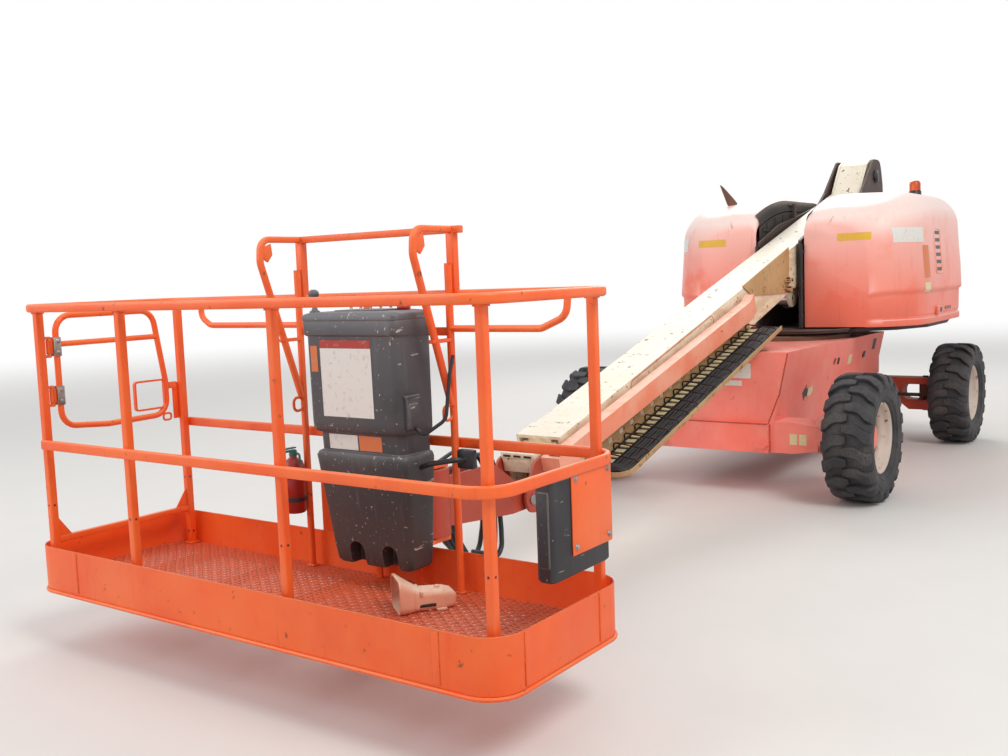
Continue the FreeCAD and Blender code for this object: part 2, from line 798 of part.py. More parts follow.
def hood_outlines(sy, inset):
    front = hood_front - inset
    rear = hood_rear + inset
    outer = hood_out - inset
    top = hood_top - inset
    inner = hood_in
    bottom = size("hood_bottom_z")
    drop = 0.0
    if inset > 0:
        inner = hood_in - 60
        bottom = bottom - 60
        drop = 38.0
    plan = softened([
        (front, sy * inner),
        (front, sy * (outer - 330), 250),
        (front - 520, sy * outer, 650),
        (-1080, sy * outer, 900),
        (rear + 60, sy * (outer - 120), 130),
        (rear, sy * (outer - 230)),
        (rear, sy * inner),
    ])
    side = softened([
        (front, bottom),
        (front, top - 200, 160),
        (front - 360, top - 45, 700),
        (rear + 330, top, 320),
        (rear + 60, top - 170, 180),
        (rear, top - 450),
        (rear, bottom),
    ])
    cross = softened([
        (sy * inner, bottom),
        (sy * inner, top - 60 - drop),
        (sy * (hood_in + 130), top, 250),
        (sy * (outer - 250), top - 15, 320),
        (sy * (outer - 50), top - 220, 340),
        (sy * outer, top - 760),
        (sy * (outer - 26), top - 790),
        (sy * (outer - 30), bottom),
    ])
    return plan, side, cross


hood_forms = {}


def hood(name, sy):
    solids = []
    for inset in (0.0, size("hood_wall")):
        plan, side, cross = hood_outlines(sy, inset)
        tag = "%s_%d" % (name, int(inset))
        plan_pad = pad("hood_plan_" + tag, "XY_Plane", plan, 1400, 1500)
        side_pad = pad("hood_side_" + tag, "XZ_Plane", side, 2600)
        cross_pad = pad("hood_cross_" + tag, "YZ_Plane", cross, 4400)
        solids.append(common("hood_solid_" + tag, [plan_pad, side_pad, cross_pad]))
    hood_forms[name] = solids[0]
    voids = [solids[1]]
    sleeves = []
    for hx in hinge_xs:
        tag = "%s_%d" % (name, -hx)
        y0 = sy * (hood_in - 30)
        y1 = sy * (hood_in + 22)
        voids.append(box("hood_notch_" + tag, hx - 75, hx + 75, y0, y1, hinge_z - 40, hinge_z + 40))
        for start in (hx + hinge_half + 7, hx - hinge_half - 37):
            place = (start, sy * hinge_y, hinge_z)
            sleeves.append(cyl("hood_sleeve_%s_%d" % (tag, -int(start)), place, (1, 0, 0), 13, 30))
            y1 = sy * (hood_in + 40)
            sleeves.append(box("hood_arm_%s_%d" % (tag, -int(start)), start, start + 30, sy * hinge_y, y1, hinge_z + 2, hinge_z + 16))
    bore = cyl("hood_bore_" + name, (hood_rear, sy * hinge_y, hinge_z), (1, 0, 0), hinge_r + run_gap, hood_front - hood_rear + 50)
    shell = cut("hood_open_" + name, solids[0], voids)
    return cut("hood_shell_" + name, fuse("hood_joined_" + name, [shell] + sleeves), [bore])


finish(hood("left", 1), "hood_left")
finish(hood("right", -1), "hood_right")

# Exhaust stub on the right cover, beacon on the left cover

pipe_r = 34
pipe_low = (-330, -560, hood_top - 75)
pipe_lean = (0, -80, 195)
stub = cyl("exhaust_outer", pipe_low, pipe_lean, pipe_r, 210)
stub_hole = cyl("exhaust_inner", pipe_low, pipe_lean, pipe_r - 4, 230)
stub_open = cut("exhaust_open", stub, [stub_hole])
finish(cut("exhaust_cut", stub_open, [hood_forms["right"]]), "exhaust_stub")
lamp_x = -1250
lamp_y = 640
lamp_z = hood_top - 35
lamp_base = prism("beacon_base", 16, (lamp_x, lamp_y, lamp_z), (0, 0, 1), 48, 55)
lamp_lens = prism("beacon_lens", 16, (lamp_x, lamp_y, lamp_z + 55), (0, 0, 1), 40, 90)
lamp_whole = fuse("beacon_fuse", [lamp_base, lamp_lens])
finish(cut("beacon_cut", lamp_whole, [hood_forms["left"]]), "beacon")

# Base boom with its head, collar and wear pads

base_w = size("base_width")
base_h = size("base_height")
base_t = size("base_wall")
top_v = size("base_top_v")
low_v = top_v - base_h
rear_u = size("base_rear_u")
front_u = size("base_front_u")
side_y = base_w / 2
fly_w = size("fly_width")
fly_h = size("fly_height")
fly_t = size("fly_wall")
fly_mid = top_v - base_h / 2
fly_low = fly_mid - fly_h / 2
fly_high = fly_mid + fly_h / 2
base_bound = {
    "Length": "Sizes.base_front_u - Sizes.base_rear_u",
    "Width": "Sizes.base_width",
    "Height": "Sizes.base_height",
}
shell = box("base_shell", rear_u, front_u, -side_y, side_y, low_v, top_v, base_bound)
bore = box("base_bore", rear_u + 10, front_u + 10, -side_y + base_t, side_y - base_t, low_v + base_t, top_v - base_t)
base_pieces = [cut("base_tube", shell, [bore])]
head_outline = softened([
    (rear_u, top_v - 2),
    (330, top_v - 2),
    (60, 130, 60),
    (-70, 150, 60),
    (rear_u, 60, 40),
], 2)
head_hole = (0, 0, pin_r + run_gap)
for sy in (-1, 1):
    base_pieces.append(pad("base_head_%d" % sy, "XZ_Plane", head_outline, 20, sy * (side_y - 10), [head_hole]))
cap_outline = [
    (326, top_v - 2),
    (60, 128),
    (-40, 141),
    (-40, 129),
    (54, 117),
    (300, top_v - 2),
]
base_pieces.append(pad("base_head_cap", "XZ_Plane", cap_outline, base_w - 36))
collar = box("base_collar", front_u - 160, front_u, -side_y - 8, side_y + 8, low_v - 8, top_v + 8)
collar_bore = box("collar_bore", front_u - 170, front_u + 10, -side_y + 1, side_y - 1, low_v + 1, top_v - 1)
base_pieces.append(cut("collar_ring", collar, [collar_bore]))
pad_long = 110
side_pad_half = 70
for pad_u in (front_u - pad_long - 10, rear_u + 640):
    pad_end = pad_u + pad_long
    for sy in (-1, 1):
        y_in = sy * (fly_w / 2 + run_gap)
        y_out = sy * (side_y - base_t + 1)
        z0 = fly_mid - side_pad_half
        base_pieces.append(box("side_pad_%d_%d" % (sy, int(pad_u)), pad_u, pad_end, y_in, y_out, z0, fly_mid + side_pad_half))
    base_pieces.append(box("top_pad_%d" % int(pad_u), pad_u, pad_end, -70, 70, fly_high + run_gap, top_v - base_t + 1))
    base_pieces.append(box("low_pad_%d" % int(pad_u), pad_u, pad_end, -70, 70, low_v + base_t - 1, fly_low - run_gap))
finish(fuse("base_fuse", base_pieces), "base_boom", boom_place)

# Lugs under the boom for the lift cylinder's rod

rod_u = size("cyl_pin_u")
rod_v = size("cyl_pin_v")
rod_lug_mid = 78
shoe = box("lug_shoe", rod_u - 190, rod_u + 150, -rod_lug_mid - 20, rod_lug_mid + 20, low_v - 10, low_v)
rod_outline = softened([
    (rod_u - 170, low_v - 8),
    (rod_u + 130, low_v - 8),
    (rod_u + 56, rod_v - 60, 48),
    (rod_u - 56, rod_v - 60, 48),
])
rod_hole = (rod_u, rod_v, pin_r)
lug_pieces = [shoe]
for sy in (-1, 1):
    lug_pieces.append(pad("rod_lug_%d" % sy, "XZ_Plane", rod_outline, 20, sy * rod_lug_mid, [rod_hole]))
finish(fuse("lift_lugs_fuse", lug_pieces), "boom_lift_lugs", boom_place)

# Gusset plate on the boom's left side, with the clamp stubs at its rear corner

gusset_thick = 10
gusset_outline = [
    (2150, top_v + 30),
    (3060, top_v + 20),
    (2930, top_v - 90),
    (2250, low_v + 8),
]
gusset = pad("gusset_plate", "XZ_Plane", gusset_outline, gusset_thick, side_y + gusset_thick / 2)
stub_low = box("gusset_clamp_low", 2262, 2322, side_y, side_y + 60, low_v + 40, low_v + 62)
stub_high = box("gusset_clamp_high", 2262, 2322, side_y, side_y + 60, low_v + 110, low_v + 132)
finish(fuse("gusset_fuse", [gusset, stub_low, stub_high]), "boom_side_bracket", boom_place)

# Hose tray: a channel with a row of square windows in its back and a rounded front end

tray_u0 = size("tray_rear_u")
tray_u1 = size("tray_front_u")
tray_high_v = tray_low_v + 110
tray_y1 = side_y + size("tray_width")
link_pitch = size("link_pitch")
link_count = int((tray_u1 - tray_u0 - 120) / link_pitch)
sheet_thick = 4
tray_nose_r = 90
floor_outline = softened([
    (tray_u0, side_y),
    (tray_u1, side_y),
    (tray_u1, tray_y1, tray_nose_r),
    (tray_u0, tray_y1),
])
tray_inner = softened([
    (tray_u0 - 10, side_y + sheet_thick),
    (tray_u1 - sheet_thick, side_y + sheet_thick),
    (tray_u1 - sheet_thick, tray_y1 - sheet_thick, tray_nose_r - sheet_thick),
    (tray_u0 - 10, tray_y1 - sheet_thick),
])
tray_lip_high = 60
tray_block = pad("tray_block", "XY_Plane", floor_outline, tray_lip_high, tray_low_v + tray_lip_high / 2)
tray_void = pad("tray_void", "XY_Plane", tray_inner, tray_lip_high, tray_low_v + sheet_thick + tray_lip_high / 2)
back_windows = []
for i in range(link_count // 2):
    wu = tray_u0 + 90 + 2 * i * link_pitch
    wv = tray_low_v + 66
    back_windows.append([(wu, wv), (wu + 46, wv), (wu + 46, wv + 30), (wu, wv + 30)])
back_outline = [
    (tray_u0, tray_low_v + 2),
    (tray_u1 - 40, tray_low_v + 2),
    (tray_u1 - 100, tray_high_v),
    (tray_u0, tray_high_v),
]
tray_back = pad("tray_back", "XZ_Plane", back_outline, sheet_thick, side_y + sheet_thick / 2, windows=back_windows)
finish(fuse("tray_fuse", [cut("tray_open", tray_block, [tray_void]), tray_back]), "hose_tray", boom_place)

# Hose carrier: a pierced chain strip beside the hoses, with wire rungs across both

carrier_v = tray_low_v + sheet_thick
strip_y0 = side_y + 12
strip_y1 = side_y + 92
strip_windows = []
for i in range(link_count):
    wu = tray_u0 + 60 + i * link_pitch
    strip_windows.append([(wu, strip_y0 + 18), (wu + 40, strip_y0 + 18), (wu + 40, strip_y1 - 18), (wu, strip_y1 - 18)])
strip_high = 34
strip_outline = [
    (tray_u0 + 20, strip_y0),
    (tray_u1 - 60, strip_y0),
    (tray_u1 - 60, strip_y1),
    (tray_u0 + 20, strip_y1),
]
carrier_pieces = [pad("chain_strip", "XY_Plane", strip_outline, strip_high, carrier_v + strip_high / 2, windows=strip_windows)]
hose_r = 15
hose_count = 4
for i in range(hose_count):
    hose_y = strip_y1 + hose_r + 2 + i * 31
    hose_start = (tray_u0 + 20, hose_y, carrier_v + hose_r)
    carrier_pieces.append(prism("hose_%d" % i, 8, hose_start, (1, 0, 0), hose_r, tray_u1 - tray_u0 - 90))
for i in range(link_count // 2):
    rung_u = tray_u0 + 60 + 2 * i * link_pitch - 14
    rung_v = carrier_v + 2 * hose_r - 8
    carrier_pieces.append(box("rung_%d" % i, rung_u, rung_u + 10, strip_y0 + 2, tray_y1 - 14, rung_v, rung_v + 16))
finish(fuse("carrier_fuse", carrier_pieces), "hose_carrier", boom_place)

# Fly boom, its nose plates and the push tube beside it

fly_u0 = size("fly_rear_u")
fly_u1 = size("fly_front_u")
fly_bound = {
    "Length": "Sizes.fly_front_u - Sizes.fly_rear_u",
    "Width": "Sizes.fly_width",
    "Height": "Sizes.fly_height",
}
fly_shell = box("fly_shell", fly_u0, fly_u1, -fly_w / 2, fly_w / 2, fly_low, fly_high, fly_bound)
fly_bore = box("fly_bore", fly_u0 - 10, fly_u1 + 10, -fly_w / 2 + fly_t, fly_w / 2 - fly_t, fly_low + fly_t, fly_high - fly_t)
finish(cut("fly_cut", fly_shell, [fly_bore]), "fly_boom", boom_place)
level_u = size("level_u")
level_v = size("level_v")
level_r = size("level_pin_radius")
nose_t = 14
nose_outline = softened([
    (fly_u1 - 60, fly_high + 6),
    (fly_u1 + 60, fly_high + 6, 50),
    (level_u + 60, level_v + 30, 60),
    (level_u + 40, level_v - 56, 50),
    (fly_u1 + 40, fly_low - 30, 60),
    (fly_u1 - 60, fly_low - 30),
])
level_hole = (level_u, level_v, level_r)
nose_pieces = []
for sy in (-1, 1):
    nose_mid = sy * (fly_w / 2 + nose_t / 2)
    nose_pieces.append(pad("nose_%d" % sy, "XZ_Plane", nose_outline, nose_t, nose_mid, [level_hole]))
nose_pieces.append(box("nose_top", fly_u1 - 60, fly_u1 + 40, -fly_w / 2 - 1, fly_w / 2 + 1, fly_high, fly_high + 6))
nose_pieces.append(box("nose_low", fly_u1 - 60, fly_u1 + 20, -fly_w / 2 - 1, fly_w / 2 + 1, fly_low - 30, fly_low))
finish(fuse("nose_fuse", nose_pieces), "boom_nose", boom_place)

push_in = side_y + 26
push_out = side_y + 96
push_rear = 3090
push_front = fly_u1 - 10
push_wall = 6


def push_outline(inset):
    return [
        (push_rear, -90 - inset),
        (push_rear + 70, -118 - inset),
        (push_front, -72 - inset),
        (push_front, -172 + inset),
        (push_rear + 90, -240 + inset),
        (push_rear, -215 + inset),
    ]


push_mid = (push_in + push_out) / 2
push_body = pad("push_body", "XZ_Plane", push_outline(0), push_out - push_in, push_mid)
push_void = pad("push_void", "XZ_Plane", push_outline(push_wall), push_out - push_in - 2 * push_wall, push_mid)
push_foot = box("push_foot", push_front - 40, push_front + 20, fly_w / 2 + nose_t, push_out, -160, -84)
push_tube = fuse("push_fuse", [cut("push_cut", push_body, [push_void]), push_foot])
finish(push_tube, "push_tube", boom_place)

# Lift cylinder, from the turntable's lugs to the boom's lugs

rod_x = pivot_x + rod_u * cos_slope + rod_v * sin_slope
rod_z = pivot_z - rod_u * sin_slope + rod_v * cos_slope
run = Vector(rod_x - lug_x, 0, rod_z - lug_z)
cyl_len = run.Length
cyl_place = Placement(Vector(lug_x, 0, lug_z), Rotation(Vector(1, 0, 0), run))
bore_r = size("cyl_bore_radius")
rod_r = size("cyl_rod_radius")
barrel_len = cyl_len - 110
eye_half = lug_mid - 17
barrel_tube = cyl("barrel_tube", (36, 0, 0), (1, 0, 0), bore_r + 10, barrel_len - 36)
barrel_void = cyl("barrel_void", (90, 0, 0), (1, 0, 0), "Sizes.cyl_bore_radius", barrel_len)
barrel_open = cut("barrel_open", barrel_tube, [barrel_void])
gland = cyl("barrel_gland", (barrel_len - 60, 0, 0), (1, 0, 0), bore_r + 1, 60)
gland_bore = cyl("gland_bore", (barrel_len - 80, 0, 0), (1, 0, 0), rod_r + run_gap, 120)
gland_ring = cut("gland_ring", gland, [gland_bore])
barrel_eye = cyl("barrel_eye", (0, -eye_half, 0), (0, 1, 0), 58, 2 * eye_half)
eye_void = cyl("barrel_eye_void", (0, -eye_half - 10, 0), (0, 1, 0), pin_r + run_gap, 2 * eye_half + 20)
barrel_fuse = fuse("barrel_fuse", [barrel_open, gland_ring, barrel_eye])
finish(cut("barrel_cut", barrel_fuse, [eye_void]), "lift_cylinder_barrel", cyl_place)
rod_eye_half = rod_lug_mid - 22
rod_bar = cyl("rod_bar", (110, 0, 0), (1, 0, 0), "Sizes.cyl_rod_radius", cyl_len - 150)
piston = cyl("rod_piston", (110, 0, 0), (1, 0, 0), bore_r - run_gap, 70)
rod_eye = cyl("rod_eye", (cyl_len, -rod_eye_half, 0), (0, 1, 0), 52, 2 * rod_eye_half)
rod_void = cyl("rod_eye_void", (cyl_len, -rod_eye_half - 10, 0), (0, 1, 0), pin_r + 1, 2 * rod_eye_half + 20)
rod_fuse = fuse("rod_fuse", [rod_bar, piston, rod_eye])
finish(cut("rod_cut", rod_fuse, [rod_void]), "lift_cylinder_rod", cyl_place)

# Levelling link and rotator ahead of the nose

level_x = pivot_x + level_u * cos_slope + level_v * sin_slope
level_z = pivot_z - level_u * sin_slope + level_v * cos_slope
rot_x = size("rotator_x")
rot_z = size("rotator_z")
rot_r = size("rotator_radius")
rot_half = 150
link_outline = softened([
    (level_x - 50, level_z - 50, 40),
    (level_x + 120, level_z - 52, 60),
    (rot_x - 12, rot_z - 110),
    (rot_x - 12, rot_z + 110),
    (level_x + 260, rot_z + 110, 80),
    (level_x + 20, level_z + 60, 60),
    (level_x - 50, level_z + 40, 40),
])
link_hole = (level_x, level_z, level_r + run_gap)
link_mid = 70
link_pieces = []
for sy in (-1, 1):
    link_pieces.append(pad("link_%d" % sy, "XZ_Plane", link_outline, 16, sy * link_mid, [link_hole]))
link_pieces.append(box("link_web", level_x + 150, rot_x - 40, -link_mid + 6, link_mid - 6, level_z + 10, level_z + 34))
link_saddle = cyl("link_saddle", (rot_x, 0, rot_z - 200), (0, 0, 1), "Sizes.rotator_radius", 400)
finish(cut("link_cut", fuse("link_whole", link_pieces), [link_saddle]), "levelling_link")
level_pin_half = fly_w / 2 + nose_t + 8
level_pin = cyl("level_pin", (level_x, -level_pin_half, level_z), (0, 1, 0), "Sizes.level_pin_radius", 2 * level_pin_half)
finish(level_pin, "levelling_pin")
shaft_r = 34
rotator_body = cyl("rotator_body", (rot_x, 0, rot_z - rot_half), (0, 0, 1), "Sizes.rotator_radius", 2 * rot_half)
rotator_bore = cyl("rotator_bore", (rot_x, 0, rot_z - rot_half - 10), (0, 0, 1), shaft_r + run_gap, 2 * rot_half + 20)
finish(cut("rotator_cut", rotator_body, [rotator_bore]), "rotator")

# Platform support bracket, turned by the rotator

plat_x = size("platform_x")
half_px = size("platform_half_x")
half_py = size("platform_half_y")
corner_r = size("platform_corner")
floor_z = size("platform_floor_z")
rail_z = size("platform_rail_z")
mid_z = size("platform_mid_z")
toe_top = size("toe_top_z")
toe_low = size("toe_bottom_z")
rail = size("rail_size")
post = size("post_size")
mid_w = size("mid_rail_width")
back_x = plat_x - half_px
front_x = plat_x + half_px
fork = rot_half + 6
fork_t = 20
fork_x = rot_x + 150
arm_y = 54
support_pieces = [
    box("support_top", rot_x - 60, fork_x, -70, 70, rot_z + fork, rot_z + fork + fork_t),
    box("support_low", rot_x - 60, fork_x, -70, 70, rot_z - fork - fork_t, rot_z - fork),
    box("support_back", fork_x - 30, fork_x, -70, 70, rot_z - fork - fork_t, rot_z + fork + fork_t),
    cyl("support_shaft", (rot_x, 0, rot_z - fork - 10), (0, 0, 1), shaft_r, 2 * fork + 20),
    box("support_plate", back_x - 14, back_x, -260, 260, floor_z - 20, rot_z + fork),
]
arm_outline = [
    (fork_x - 2, rot_z - fork - fork_t),
    (back_x - 2, floor_z - 10),
    (back_x - 2, rot_z + 120),
    (fork_x - 2, rot_z + 60),
]
for sy in (-1, 1):
    support_pieces.append(pad("support_arm_%d" % sy, "XZ_Plane", arm_outline, 16, sy * arm_y))
finish(fuse("support_fuse", support_pieces), "platform_support")

# Platform floor: tube frame and mesh plate

frame_deep = 32
frame_high = floor_z - 4
floor_bars = [hoop("floor_hoop", plat_x, 0, half_px - 6, half_py - 6, corner_r - 8, 40, frame_high - frame_deep, frame_high)]
bar_count = 5
for i in range(bar_count):
    bar_y = (half_py - 320) * (2 * i / (bar_count - 1) - 1)
    floor_bars.append(box("floor_bar_%d" % i, back_x + 10, front_x - 10, bar_y - 20, bar_y + 20, frame_high - frame_deep, frame_high))
finish(fuse("floor_fuse", floor_bars), "platform_floor_frame")
mesh_outline = rounded(plat_x, 0, half_px - 8, half_py - 8, corner_r - 10)
finish(pad("floor_mesh", "XY_Plane", mesh_outline, floor_z - frame_high, (floor_z + frame_high) / 2), "platform_floor_mesh")

# Toe board with its rolled lip

board_t = 4
board = hoop("toe_board_wall", plat_x, 0, half_px, half_py, corner_r - 4, board_t, toe_low, toe_top)
lip = hoop("toe_board_lip", plat_x, 0, half_px + 8, half_py + 8, corner_r + 4, 13, toe_low - 10, toe_low + 3)
finish(fuse("toe_fuse", [board, lip]), "toe_board")

# Rails: the top rail all round, the mid rail open at the gate

finish(hoop("top_rail", plat_x, 0, half_px, half_py, corner_r, rail, rail_z - rail, rail_z), "top_rail")
gate_y = -half_py + size("gate_inset")
mid_hoop = hoop("mid_hoop", plat_x, 0, half_px, half_py, corner_r, mid_w, mid_z - 20, mid_z + 20)
mid_gap = box("mid_gap", back_x - 20, front_x + 20, -half_py - 20, -half_py + corner_r, mid_z - 40, mid_z + 40)
finish(cut("mid_open", mid_hoop, [mid_gap]), "mid_rail")

# Posts under the top rail, the gate's sill, its hinge pins and its latch plate

side_inset = mid_w + post / 2
corner_inset = 68
post_top = rail_z - rail
post_rows = [
    (front_x - corner_inset, half_py - corner_inset),
    (back_x + corner_inset, half_py - corner_inset),
    (front_x - side_inset, gate_y),
    (back_x + side_inset, gate_y),
    (front_x - side_inset, 300),
    (front_x - side_inset, -550),
]
post_pieces = []
for i in range(len(post_rows)):
    px, py = post_rows[i]
    post_pieces.append(box("post_%d" % i, px - post / 2, px + post / 2, py - post / 2, py + post / 2, floor_z, post_top))
hinge_face = front_x - side_inset - post / 2
latch_face = back_x + side_inset + post / 2
sill_z = toe_top + 20
post_pieces.append(box("sill_bar", latch_face - 2, hinge_face + 2, gate_y - 13, gate_y + 13, sill_z - 13, sill_z + 13))
gusset_long = 90
for gx, sx in ((hinge_face, -1), (latch_face, 1)):
    foot_outline = [
        (gx - sx * 2, sill_z + 10),
        (gx + sx * gusset_long * 0.7, sill_z + 10),
        (gx - sx * 2, sill_z + 10 + gusset_long),
    ]
    post_pieces.append(pad("post_gusset_%d" % sx, "XZ_Plane", foot_outline, 6, gate_y))
gate_pin_x = hinge_face - 19
gate_pin_r = 5
hinge_heights = (1075, 1280)
lug_deep = 12
for gz in hinge_heights:
    post_pieces.append(cyl("gate_pin_%d" % gz, (gate_pin_x, gate_y, gz - 44), (0, 0, 1), gate_pin_r, 88))
    for dz in (-44, 44 - lug_deep):
        z0 = gz + dz
        post_pieces.append(box("gate_lug_%d_%d" % (gz, dz + 50), gate_pin_x - 9, hinge_face + 1, gate_y - 9, gate_y + 9, z0, z0 + lug_deep))
latch_y = gate_y - post / 2
post_pieces.append(box("latch_plate", back_x + 2, latch_face + 26, latch_y - 6, latch_y + 1, 900, 1070))
finish(fuse("posts_fuse", post_pieces), "platform_posts")

# Console guard: two hoops on the back rail, their top bar, grab bars and console seats

guard_top = size("guard_top_z")
con_y = size("console_y")
con_half = size("console_width") / 2
con_x = back_x + 215
guard_r = 13
guard_x0 = back_x + rail / 2
guard_x1 = back_x + 215
guard_rows = [
    (con_y - 485, 110),
    (con_y + 320, 60),
]
guard = []
for gy, slant in guard_rows:
    path = [
        (guard_x0, gy, post_top),
        (guard_x0, gy, guard_top - 60),
        (guard_x0 + 50, gy, guard_top - guard_r),
        (guard_x1 - 50, gy, guard_top - guard_r),
        (guard_x1, gy, guard_top - 60),
        (guard_x1, gy, rail_z - 80),
        (guard_x1 - 60, gy + slant, mid_z + 170),
    ]
    guard += square_tube("guard_hoop_%d" % int(gy), path, 2 * guard_r)
    guard.append(box("guard_leg_%d" % int(gy), back_x + rail, back_x + rail + 26, gy - 13, gy + 13, floor_z, guard_top - 80))
guard_y0 = guard_rows[0][0]
guard_y1 = guard_rows[1][0]
bar_path = [(guard_x0 + 60, guard_y0, guard_top - guard_r), (guard_x0 + 60, guard_y1, guard_top - guard_r)]
guard += square_tube("guard_bar", bar_path, 2 * guard_r)
grab_x = back_x + rail + guard_r
grab_right = [
    (grab_x, guard_y1, 1317),
    (grab_x, 906, 1317),
    (grab_x, 991, 1352),
    (grab_x, 1043, post_top + 20),
]
grab_left = [
    (grab_x, guard_y0, 1333),
    (grab_x, -850, 1333),
    (grab_x, -905, 1370),
    (grab_x, -920, post_top + 20),
]
guard += square_tube("grab_right", grab_right, 2 * guard_r)
guard += square_tube("grab_left", grab_left, 2 * guard_r)
seat_x = back_x + rail
console_back = con_x - 155
for seat_z in (floor_z + 260, 1250):
    guard.append(box("console_seat_%d" % int(seat_z), seat_x, console_back, con_y - 150, con_y + 150, seat_z, seat_z + 60))
for sy in (-1, 1):
    mast_y = con_y + sy * 105
    guard.append(box("console_mast_%d" % sy, seat_x, seat_x + 12, mast_y - 15, mast_y + 15, floor_z, post_top))
guard.append(box("console_rail", seat_x, seat_x + 12, guard_y0, guard_y1, 1290, 1322))
rail_room = hoop("rail_room", plat_x, 0, half_px + 30, half_py, corner_r, rail + 30, post_top, rail_z)
guard_whole = fuse("guard_whole", guard)
finish(cut("guard_cut", guard_whole, [rail_room]), "console_guard")

# Control console with its joystick

lid_z = 1400
waist_z = 950
con_foot = floor_z + 60
con_outline = [
    (con_y - con_half, lid_z - 15),
    (con_y + con_half, lid_z - 15),
    (con_y + con_half, lid_z - 60),
    (con_y + con_half - 15, lid_z - 70),
    (con_y + con_half - 15, waist_z + 40),
    (con_y + con_half - 25, waist_z + 10),
    (con_y + con_half - 15, waist_z - 20),
    (con_y + con_half - 20, con_foot + 50),
    (con_y + con_half - 60, con_foot),
    (con_y + 80, con_foot),
    (con_y + 60, con_foot + 60),
    (con_y + 20, con_foot + 60),
    (con_y, con_foot),
    (con_y - 60, con_foot),
    (con_y - 80, con_foot + 60),
    (con_y - 130, con_foot + 60),
    (con_y - 150, con_foot),
    (con_y - con_half + 20, con_foot + 50),
    (con_y - con_half + 15, waist_z - 20),
    (con_y - con_half + 25, waist_z + 10),
    (con_y - con_half + 15, waist_z + 40),
    (con_y - con_half + 15, lid_z - 70),
    (con_y - con_half, lid_z - 60),
]
con_body = pad("console_body", "YZ_Plane", con_outline, 230, con_x - 40)
con_side = [
    (console_back, floor_z),
    (con_x - 10, floor_z),
    (con_x + 60, waist_z + 10),
    (con_x + 75, lid_z - 60),
    (con_x + 75, lid_z - 10),
    (con_x + 40, lid_z),
    (console_back, lid_z),
]
con_form = pad("console_form", "XZ_Plane", con_side, 1200)
con_solid = common("console_common", [con_body, con_form])
stick_y = con_y - con_half - 16
stick_foot = box("stick_foot", con_x - 40, con_x, stick_y - 20, con_y - con_half + 4, lid_z - 50, lid_z - 20)
stick = prism("stick", 8, (con_x - 20, stick_y, lid_z - 22), (0, 0, 1), 8, 70)
knob = prism("stick_knob", 12, (con_x - 20, stick_y, lid_z + 44), (0, 0, 1), 22, 36)
finish(fuse("console_fuse", [con_solid, stick_foot, stick, knob]), "control_console")

# Storage box inside the left end, foot switch guard and extinguisher

box_wall = 6
store_x0 = back_x + 84
store_x1 = back_x + 441
store_y0 = half_py - 120
store_y1 = half_py - board_t - 8
store_z0 = toe_top + 2
store_z1 = mid_z - 24
store = box("store_box", store_x0, store_x1, store_y0, store_y1, store_z0, store_z1)
store_in = box("store_in", store_x0 + box_wall, store_x1 - box_wall, store_y0 + box_wall, store_y1 - box_wall, store_z0 + box_wall, store_z1 + 10)
store_tab = box("store_tab", store_x0 + 50, store_x1 - 50, store_y1 - box_wall, half_py - board_t - run_gap, toe_top - 40, toe_top + 30)
finish(fuse("store_fuse", [cut("store_cut", store, [store_in]), store_tab]), "storage_box")
foot_x0 = con_x - 15
foot_y = con_y + 330
foot_outline = softened([
    (foot_x0, floor_z),
    (foot_x0 + 220, floor_z),
    (foot_x0 + 220, floor_z + 60, 30),
    (foot_x0 + 140, floor_z + 120, 40),
    (foot_x0, floor_z + 110, 40),
])
foot = pad("foot_body", "XZ_Plane", foot_outline, 150, foot_y)
foot_void = box("foot_void", foot_x0 + 40, foot_x0 + 260, foot_y - 60, foot_y + 60, floor_z + 12, floor_z + 80)
finish(cut("foot_cut", foot, [foot_void]), "foot_switch")
ext_r = 42
ext_x = back_x + rail + 26 + 6 + ext_r
ext_y = guard_y0
ext_low = 540
ext_high = 230
ext_pieces = [
    cyl("ext_body", (ext_x, ext_y, ext_low), (0, 0, 1), ext_r, ext_high),
    cyl("ext_neck", (ext_x, ext_y, ext_low + ext_high - 1), (0, 0, 1), 16, 40),
    box("ext_lever", ext_x - 12, ext_x + 50, ext_y - 12, ext_y + 12, ext_low + ext_high + 30, ext_low + ext_high + 48),
    box("ext_strap", back_x + rail + 26, ext_x, ext_y - 20, ext_y + 20, ext_low + 120, ext_low + 150),
]
finish(fuse("ext_fuse", ext_pieces), "fire_extinguisher")

# Entry gate at the right end of the platform, hinged on its front post

bar_r = 13
gate_x1 = gate_pin_x - 37
gate_x0 = latch_face + 74
gate_top = post_top - 5 - bar_r
gate_low = mid_z + 45
gate_path = [
    (gate_x0 + 50, gate_y, gate_top),
    (gate_x1 - 60, gate_y, gate_top),
    (gate_x1, gate_y, gate_top - 70),
    (gate_x1, gate_y, gate_low + 75),
    (gate_x1 - 50, gate_y, gate_low + 15),
    (gate_x1 - 220, gate_y, gate_low),
    (gate_x0 + 30, gate_y, gate_low + 5),
    (gate_x0, gate_y, gate_low + 40),
    (gate_x0, gate_y, gate_low + 160),
    (gate_x0 + 50, gate_y, gate_top),
]
gate_pieces = round_tube("gate_tube", gate_path, bar_r)
gate_pieces += round_tube("gate_bar", [(gate_x1, gate_y, 1290), (gate_x0 + 34, gate_y, 1290)], bar_r - 1)
for gz in hinge_heights:
    gate_pieces.append(cyl("gate_sleeve_%d" % gz, (gate_pin_x, gate_y, gz - 30), (0, 0, 1), 9, 60))
    gate_pieces.append(box("gate_leaf_%d" % gz, gate_x1 + 4, gate_pin_x - 4, gate_y - 5, gate_y + 5, gz - 30, gz + 30))
gate_pieces.append(box("gate_strap", latch_face + 18, gate_x0 + 4, gate_y - 4, gate_y + 4, gate_low + 120, gate_low + 150))
